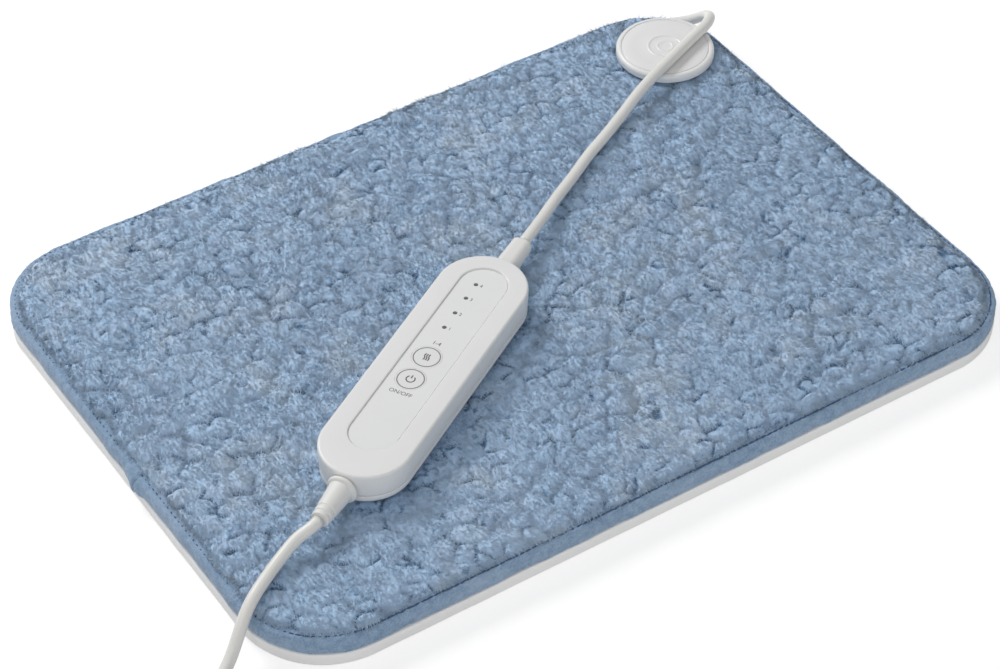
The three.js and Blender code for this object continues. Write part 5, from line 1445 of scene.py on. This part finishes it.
plug = {
    "start": (-199.77, -230.49, 7.15),
    "boot": (3.6, 4.6, 24.0),
    "grooves": np.linspace(0.14, 0.70, 6),
    "body": (24.3, 36.0),
    "neck": (13.0, 11.0),
    "size": (35.3, 13.7),
    "round": 4.5,
    "endRound": 1.3,
}

leadPlug = {
    "left": 131.0,
    "right": 149.0,
    "middle": 149.2,
    "axisHeight": 5.6,
    "size": (7.8, 7.6),
    "round": 3.4,
    "split": 0.12,
    "ends": ((1.5, 0.0), (0.85, 0.12), (0.4, 0.4), (0.1, 0.9), (0.0, 1.5)),
    "noseMiddle": 140.0,
    "noseFront": 128.7,
    "nose": (12.0, 5.2),
    "noseInside": (9.6, 2.8),
    "boot": (3.8, 3.3, 13.7),
    "grooves": (0.36, 0.53, 0.70),
}

tie = {
    "azimuth": 140.6,
    "radial": (18.99, 48.2),
    "height": 13.45,
    "width": 9.0,
    "thickness": 0.6,
    "round": 4.0,
}


def groovedRadius(share, start, end, length, grooves, depth, width):
    # A radius that changes evenly from start to end over the shares of a sleeve's length. Each groove
    # takes away depth times e^(-(distance / width)^4)
    radius = start + (end - start) * share
    for groove in grooves:
        radius = radius - depth * np.exp(-((share - groove) * length / width) ** 4)
    return radius


def makeLowerRelief(values):
    # Turned: a rounded flange and a tapered sleeve with soft grooves near its tip
    start = values["end"] - 2.0
    flange, flangeLength = values["flange"]
    wide, narrow, length = values["sleeve"]
    rows = [(3.6, start), (3.6, start + 2.2), (flange - 0.4, start + 2.3), (flange, start + 2.7)]
    end = values["end"] + 0.3 + flangeLength
    rows += [(flange - inset, end - 0.7 + 0.7 * part)
             for inset, part in ((0.0, 0.0), (0.12, 0.45), (0.5, 0.85), (0.9, 1.0))]
    rows += [(wide + 0.25, end + 0.05), (wide + 0.02, end + 0.35)]
    share = np.linspace(0.04, 0.985, 90)
    radius = groovedRadius(share, wide, narrow, length, values["grooves"], 0.45, 0.52)
    rows += list(zip(radius, end + share * length))
    rows += [(narrow - 0.25, end + length - 0.02), (3.0, end + length)]
    origin = ownPlace(0.0, 0.0, values["height"]) / mm
    axis = (-alongWay[0], -alongWay[1], 0)
    rings = turnedRings(rows, origin, axis, (0, 0, 1), 64)
    place("lowerRelief", closedSkin(rings), "harness", "soft_sleeve", "lower_strain_relief",
          sharpAngle=60)


def roundedSection(width, height, radius, perCorner=10):
    # Points of a rectangle with rounded corners, all round
    radius = min(radius, width / 2 - 0.01, height / 2 - 0.01)
    turn = np.linspace(0, np.pi / 2, perCorner)
    parts = []
    for number, (sx, sy) in enumerate(((1, 1), (-1, 1), (-1, -1), (1, -1))):
        angle = turn + number * np.pi / 2
        parts.append(np.stack([sx * (width / 2 - radius) + radius * np.cos(angle),
                               sy * (height / 2 - radius) + radius * np.sin(angle)], -1))
    return np.concatenate(parts)


def sectionRings(rows, origin, axis, side):
    # Rounded rectangles along an axis: each row has its place, width, height and corner radius
    axis, side, up = np.array(axis), np.array(side), np.array([0, 0, 1.0])
    rings = []
    for at, width, height, radius in rows:
        flat = roundedSection(width, height, radius)
        rings.append(np.asarray(origin) + axis * at + flat[:, :1] * side + flat[:, 1:] * up)
    return np.stack(rings) * mm


def makeUpperRelief(values):
    # Short block with softly rounded edges that narrows to the cord
    wide, high, tipWide, tipHigh, length = values["stub"]
    start = values["end"] - 0.6
    rows = [(start + share * (length - 1.9 + 0.6), wide + (tipWide - wide) * share,
             high + (tipHigh - high) * share, 3.4) for share in np.linspace(0, 1, 14)]
    end = values["end"] + 0.3 + length
    for t in np.linspace(0, np.pi / 2, 8)[1:]:
        less = 1 - math.cos(t)
        rows.append((end - 1.6 + 1.6 * math.sin(t), tipWide - 3.0 * less, tipHigh - 3.0 * less,
                     3.3 - 1.2 * less))
    origin = ownPlace(0.0, 0.0, values["height"]) / mm
    rings = sectionRings(rows, origin, (*alongWay, 0), (*acrossWay, 0))
    place("upperRelief", closedSkin(rings), "harness", "soft_sleeve", "upper_strain_relief",
          sharpAngle=60)


def makeMainsPlug(values):
    # Ribbed boot and a flat body that widens by its shoulders, edges rounded at both ends
    narrow, wide, length = values["boot"]
    share = np.linspace(0, 1, 110)
    radius = groovedRadius(share, narrow, wide, length, values["grooves"], 0.42, 0.62)
    rows = [(2.9, 0.0), (narrow - 0.2, 0.02)] + list(zip(radius, 0.15 + share * (length - 0.2)))
    rings = turnedRings(rows, values["start"], (1, 0, 0), (0, 0, 1), 48)
    place("mainsBoot", closedSkin(rings), "harness", "soft_sleeve", "mains_plug_boot", sharpAngle=60)
    (start, long), rim = values["body"], values["endRound"]
    (neckWide, neckHigh), (wide, high) = values["neck"], values["size"]
    rows = []
    for share in np.linspace(0, 1, 60):
        ends = min(share, 1 - share) * long
        soft = rim - math.sqrt(max(rim ** 2 - max(rim - ends, 0) ** 2, 0))
        grow = float(smoothStep(share / 0.52)) * 0.45 + min(share / 0.5, 1.0) * 0.55
        tall = float(smoothStep(share / 0.27))
        rows.append((start + share * long, neckWide + (wide - neckWide) * grow - 2 * soft,
                     neckHigh + (high - neckHigh) * tall - 2 * soft, values["round"]))
    rings = sectionRings(rows, values["start"], (1.0, 0, 0), (0, 1.0, 0))
    place("mainsPlug", closedSkin(rings), "harness", "white_plastic", "mains_plug_body", sharpAngle=50)


def archLine(half, high, radius, low):
    # Up one side, over two rounded corners and down the other side
    turn = np.linspace(0, np.pi / 2, 7)
    left = np.stack([radius - half - radius * np.cos(turn), high - radius + radius * np.sin(turn)], -1)
    right = left[::-1] * (-1, 1)
    return np.vstack([[(-half, low)], left, right, [(half, low)]])


def makeLeadPlug(values):
    # Two halves that meet at the axis: a rounded body and a hollow nose, which runs on into the socket
    middle, axis, split = values["middle"], values["axisHeight"], values["split"]
    deep, high = values["size"]
    rows = [(inset, values["left"] + step) for inset, step in values["ends"]]
    rows += [(inset, values["right"] - step) for inset, step in values["ends"][::-1]]
    front = values["noseFront"]
    noseRows = [(0.25, front), (0.08, front + 0.1), (0.0, front + 0.4), (0.0, middle - deep / 2 + 0.8)]
    (wide, tall), (wideInside, tallInside) = values["nose"], values["noseInside"]
    for side, name, node in ((1, "leadPlugUpper", "lead_plug_upper_shell"),
                             (-1, "leadPlugLower", "lead_plug_lower_shell")):
        body = []
        for inset, x in rows:
            line = archLine(deep / 2 - inset, high / 2 - inset, values["round"] - inset, split)
            body.append(np.stack([x + 0 * line[:, 0], middle + line[:, 0],
                                  axis + side * line[:, 1]], -1))
        nose = []
        for inset, y in noseRows:
            outer = archLine(wide / 2 - inset, tall / 2 - inset, 0.7, split)
            inner = archLine(wideInside / 2 + inset, tallInside / 2 + inset, 0.3, split)
            line = np.vstack([outer, inner[::-1]])
            nose.append(np.stack([values["noseMiddle"] + line[:, 0], y + 0 * line[:, 0],
                                  axis + side * line[:, 1]], -1))
        nose = np.stack(nose) * mm
        count, columns = len(outer), nose.shape[1]
        i = np.arange(count - 1)
        cap = np.stack([i, i + 1, columns - 2 - i, columns - 1 - i], -1)
        faceSets = [gridFaces(len(nose), columns, False, True), cap[:, ::-1],
                    cap + (len(nose) - 1) * columns]
        skin = joined([closedSkin(np.stack(body) * mm), outwardSkin(nose.reshape(-1, 3), faceSets)])
        place(name, skin, "harness", "white_plastic", node, sharpAngle=40)
    wide, narrow, length = values["boot"]
    share = np.linspace(0, 1, 70)
    radius = groovedRadius(share, wide, narrow, length, values["grooves"], 0.5, 0.55)
    boot = [(2.0, -2.4), (2.0, 0.28), (wide - 0.3, 0.3), (wide - 0.08, 0.4)]
    boot += list(zip(radius, 0.6 + share * (length - 0.9)))
    boot += [(narrow - 0.12, length - 0.1), (narrow - 0.4, length)]
    rings = turnedRings(boot, (values["right"], middle, axis), (1, 0, 0), (0, 0, 1), 48)
    place("leadBoot", closedSkin(rings), "harness", "soft_sleeve", "lead_plug_boot", sharpAngle=60)


def makeTie(values):
    # A cloth band in a rounded rectangle round the coil's turns, a little slack between them
    (near, far), height = values["radial"], values["height"]
    centre = np.array(cord["coilCentre"]) / mm
    angle = math.radians(values["azimuth"])
    outward = np.array([math.cos(angle), math.sin(angle)])
    tangent = np.array([-outward[1], outward[0]])
    loop = roundedSection(far - near, height, values["round"], 14)
    loop = np.concatenate([np.linspace(a, b, 6, endpoint=False) if np.linalg.norm(b - a) > 3 else a[None]
                           for a, b in zip(loop, np.roll(loop, -1, 0))])
    way = unit(np.roll(loop, -1, 0) - np.roll(loop, 1, 0))
    normal = np.stack([way[:, 1], -way[:, 0]], -1)
    half = values["width"] / 2
    corners = [(-half, 0.0), (-half + 0.15, 0.12), (half - 0.15, 0.12), (half, 0.0),
               (half, -values["thickness"]), (-half, -values["thickness"])]
    rings = []
    for side, lift in corners:
        at = loop + normal * (lift - 0.12)
        radial = (near + far) / 2 + at[:, 0]
        flat = centre + outward * radial[:, None] + tangent * side
        rings.append(np.concatenate([flat, (height / 2 + at[:, 1])[:, None]], -1))
    skin = closedSkin(np.stack(rings, 1) * mm, True)
    place("coilTie", skin, "harness", "tie_strap", "coil_tie", sharpAngle=50)


print("Binding and back cover")
makeBinding(binding)
makeStitches(binding)
makeBackCover(backCover)
print("Connector cover and controller")
makeDisc(disc)
makeTopShell(shell)
makeBottomShell(shell)
makePanel(panel)
makeButtonCap("powerCap", panel["buttons"][0], "power_button", button)
makeButtonCap("heatCap", panel["buttons"][1], "heat_button", button)
makeButtonMarks(printing)
makePanelMarks(printing)
print("Strain reliefs, mains plug and tie")
makeLowerRelief(relief)
makeUpperRelief(relief)
makeMainsPlug(plug)
makeLeadPlug(leadPlug)
makeTie(tie)

makeCord("padLeadCord", padLeadLine, ["pad_lead"])
makeCord("mainsCord", mainsLine, ["mains_lead", "mains_coil", "mains_tail"])


# Studio

# Metres and degrees again
studio = {
    "floorSide": 6.0,
    "floorColours": ((0.82, 0.82, 0.82, 1), (0.84, 0.84, 0.84, 1)),
    "floorSeen": (0.42, 0.42, 0.42, 1),  # what the camera sees, under the glow
    "floorGlow": 0.67,
    "skyLevel": 0.40,
    # Azimuth, elevation and distance of each lamp, its size and its power
    "lamps": {
        "keyLamp": (-170.0, 45.0, 2.2, 0.9, 28.4),
        "fillLamp": (-60.0, 50.0, 2.6, 1.8, 7.6),
        "lowLamp": (-15.0, 14.0, 2.6, 1.6, 12.0),
    },
}


def makeFloor(values):
    # A wide plain floor. What the camera sees of it is lifted to white, and its shadows stay
    side = values["floorSide"]
    points = np.array([(-side, -side, 0), (side, -side, 0), (side, side, 0), (-side, side, 0)], float)
    mesh = meshOf("studioFloor", points, [np.array([[0, 1, 2, 3]])])
    floor = bpy.data.objects.new("studioFloor", mesh)
    bpy.context.scene.collection.objects.link(floor)
    material = bpy.data.materials.new("studioFloor")
    material.use_nodes = True
    tree = material.node_tree
    tree.nodes.clear()
    paper = noise(tree, objectPlace(tree), 3.0)
    colour = mixColours(tree, spread(tree, paper, 0.3, 0.7), *values["floorColours"])
    diffuse = addNode(tree, "BsdfDiffuse", {"Color": colour})
    glow = addNode(tree, "Emission", {"Color": (1, 1, 1, 1), "Strength": values["floorGlow"]})
    dim = addNode(tree, "BsdfDiffuse", {"Color": values["floorSeen"]})
    seen = addNode(tree, "AddShader", {0: dim.outputs[0], 1: glow.outputs[0]})
    path = addNode(tree, "LightPath").outputs
    either = mathNode(tree, "MAXIMUM", path["Is Camera Ray"], mathNode(
        tree, "MAXIMUM", path["Is Glossy Ray"], path["Is Transmission Ray"]))
    both = addNode(tree, "MixShader", {0: either, 1: diffuse.outputs[0], 2: seen.outputs[0]})
    addNode(tree, "OutputMaterial", {"Surface": both.outputs[0]})
    floor.data.materials.append(material)


def makeSky(strength):
    # Soft light on the object, plain white behind it for the camera
    world = bpy.data.worlds.new("studioSky")
    bpy.context.scene.world = world
    world.use_nodes = True
    tree = world.node_tree
    tree.nodes.clear()
    soft = addNode(tree, "Background", {"Color": (0.97, 0.98, 1.0, 1), "Strength": strength})
    white = addNode(tree, "Background", {"Color": (1, 1, 1, 1), "Strength": 1.0})
    path = addNode(tree, "LightPath").outputs
    both = addNode(tree, "MixShader", {0: path["Is Camera Ray"], 1: soft.outputs[0],
                                       2: white.outputs[0]})
    addNode(tree, "OutputWorld", {"Surface": both.outputs[0]})


def makeLamp(name, azimuth, elevation, distance, size, power):
    # A round lamp that looks at the middle of the floor
    data = bpy.data.lights.new(name, "AREA")
    data.shape, data.size, data.energy = "DISK", size, power
    lamp = bpy.data.objects.new(name, data)
    bpy.context.scene.collection.objects.link(lamp)
    back = directionTo(azimuth, elevation)
    lookAlong(lamp, back * distance, back)


makeFloor(studio)
makeSky(studio["skyLevel"])
for lampName, lampValues in studio["lamps"].items():
    makeLamp(lampName, *lampValues)
bpy.context.scene.view_settings.view_transform = "Standard"
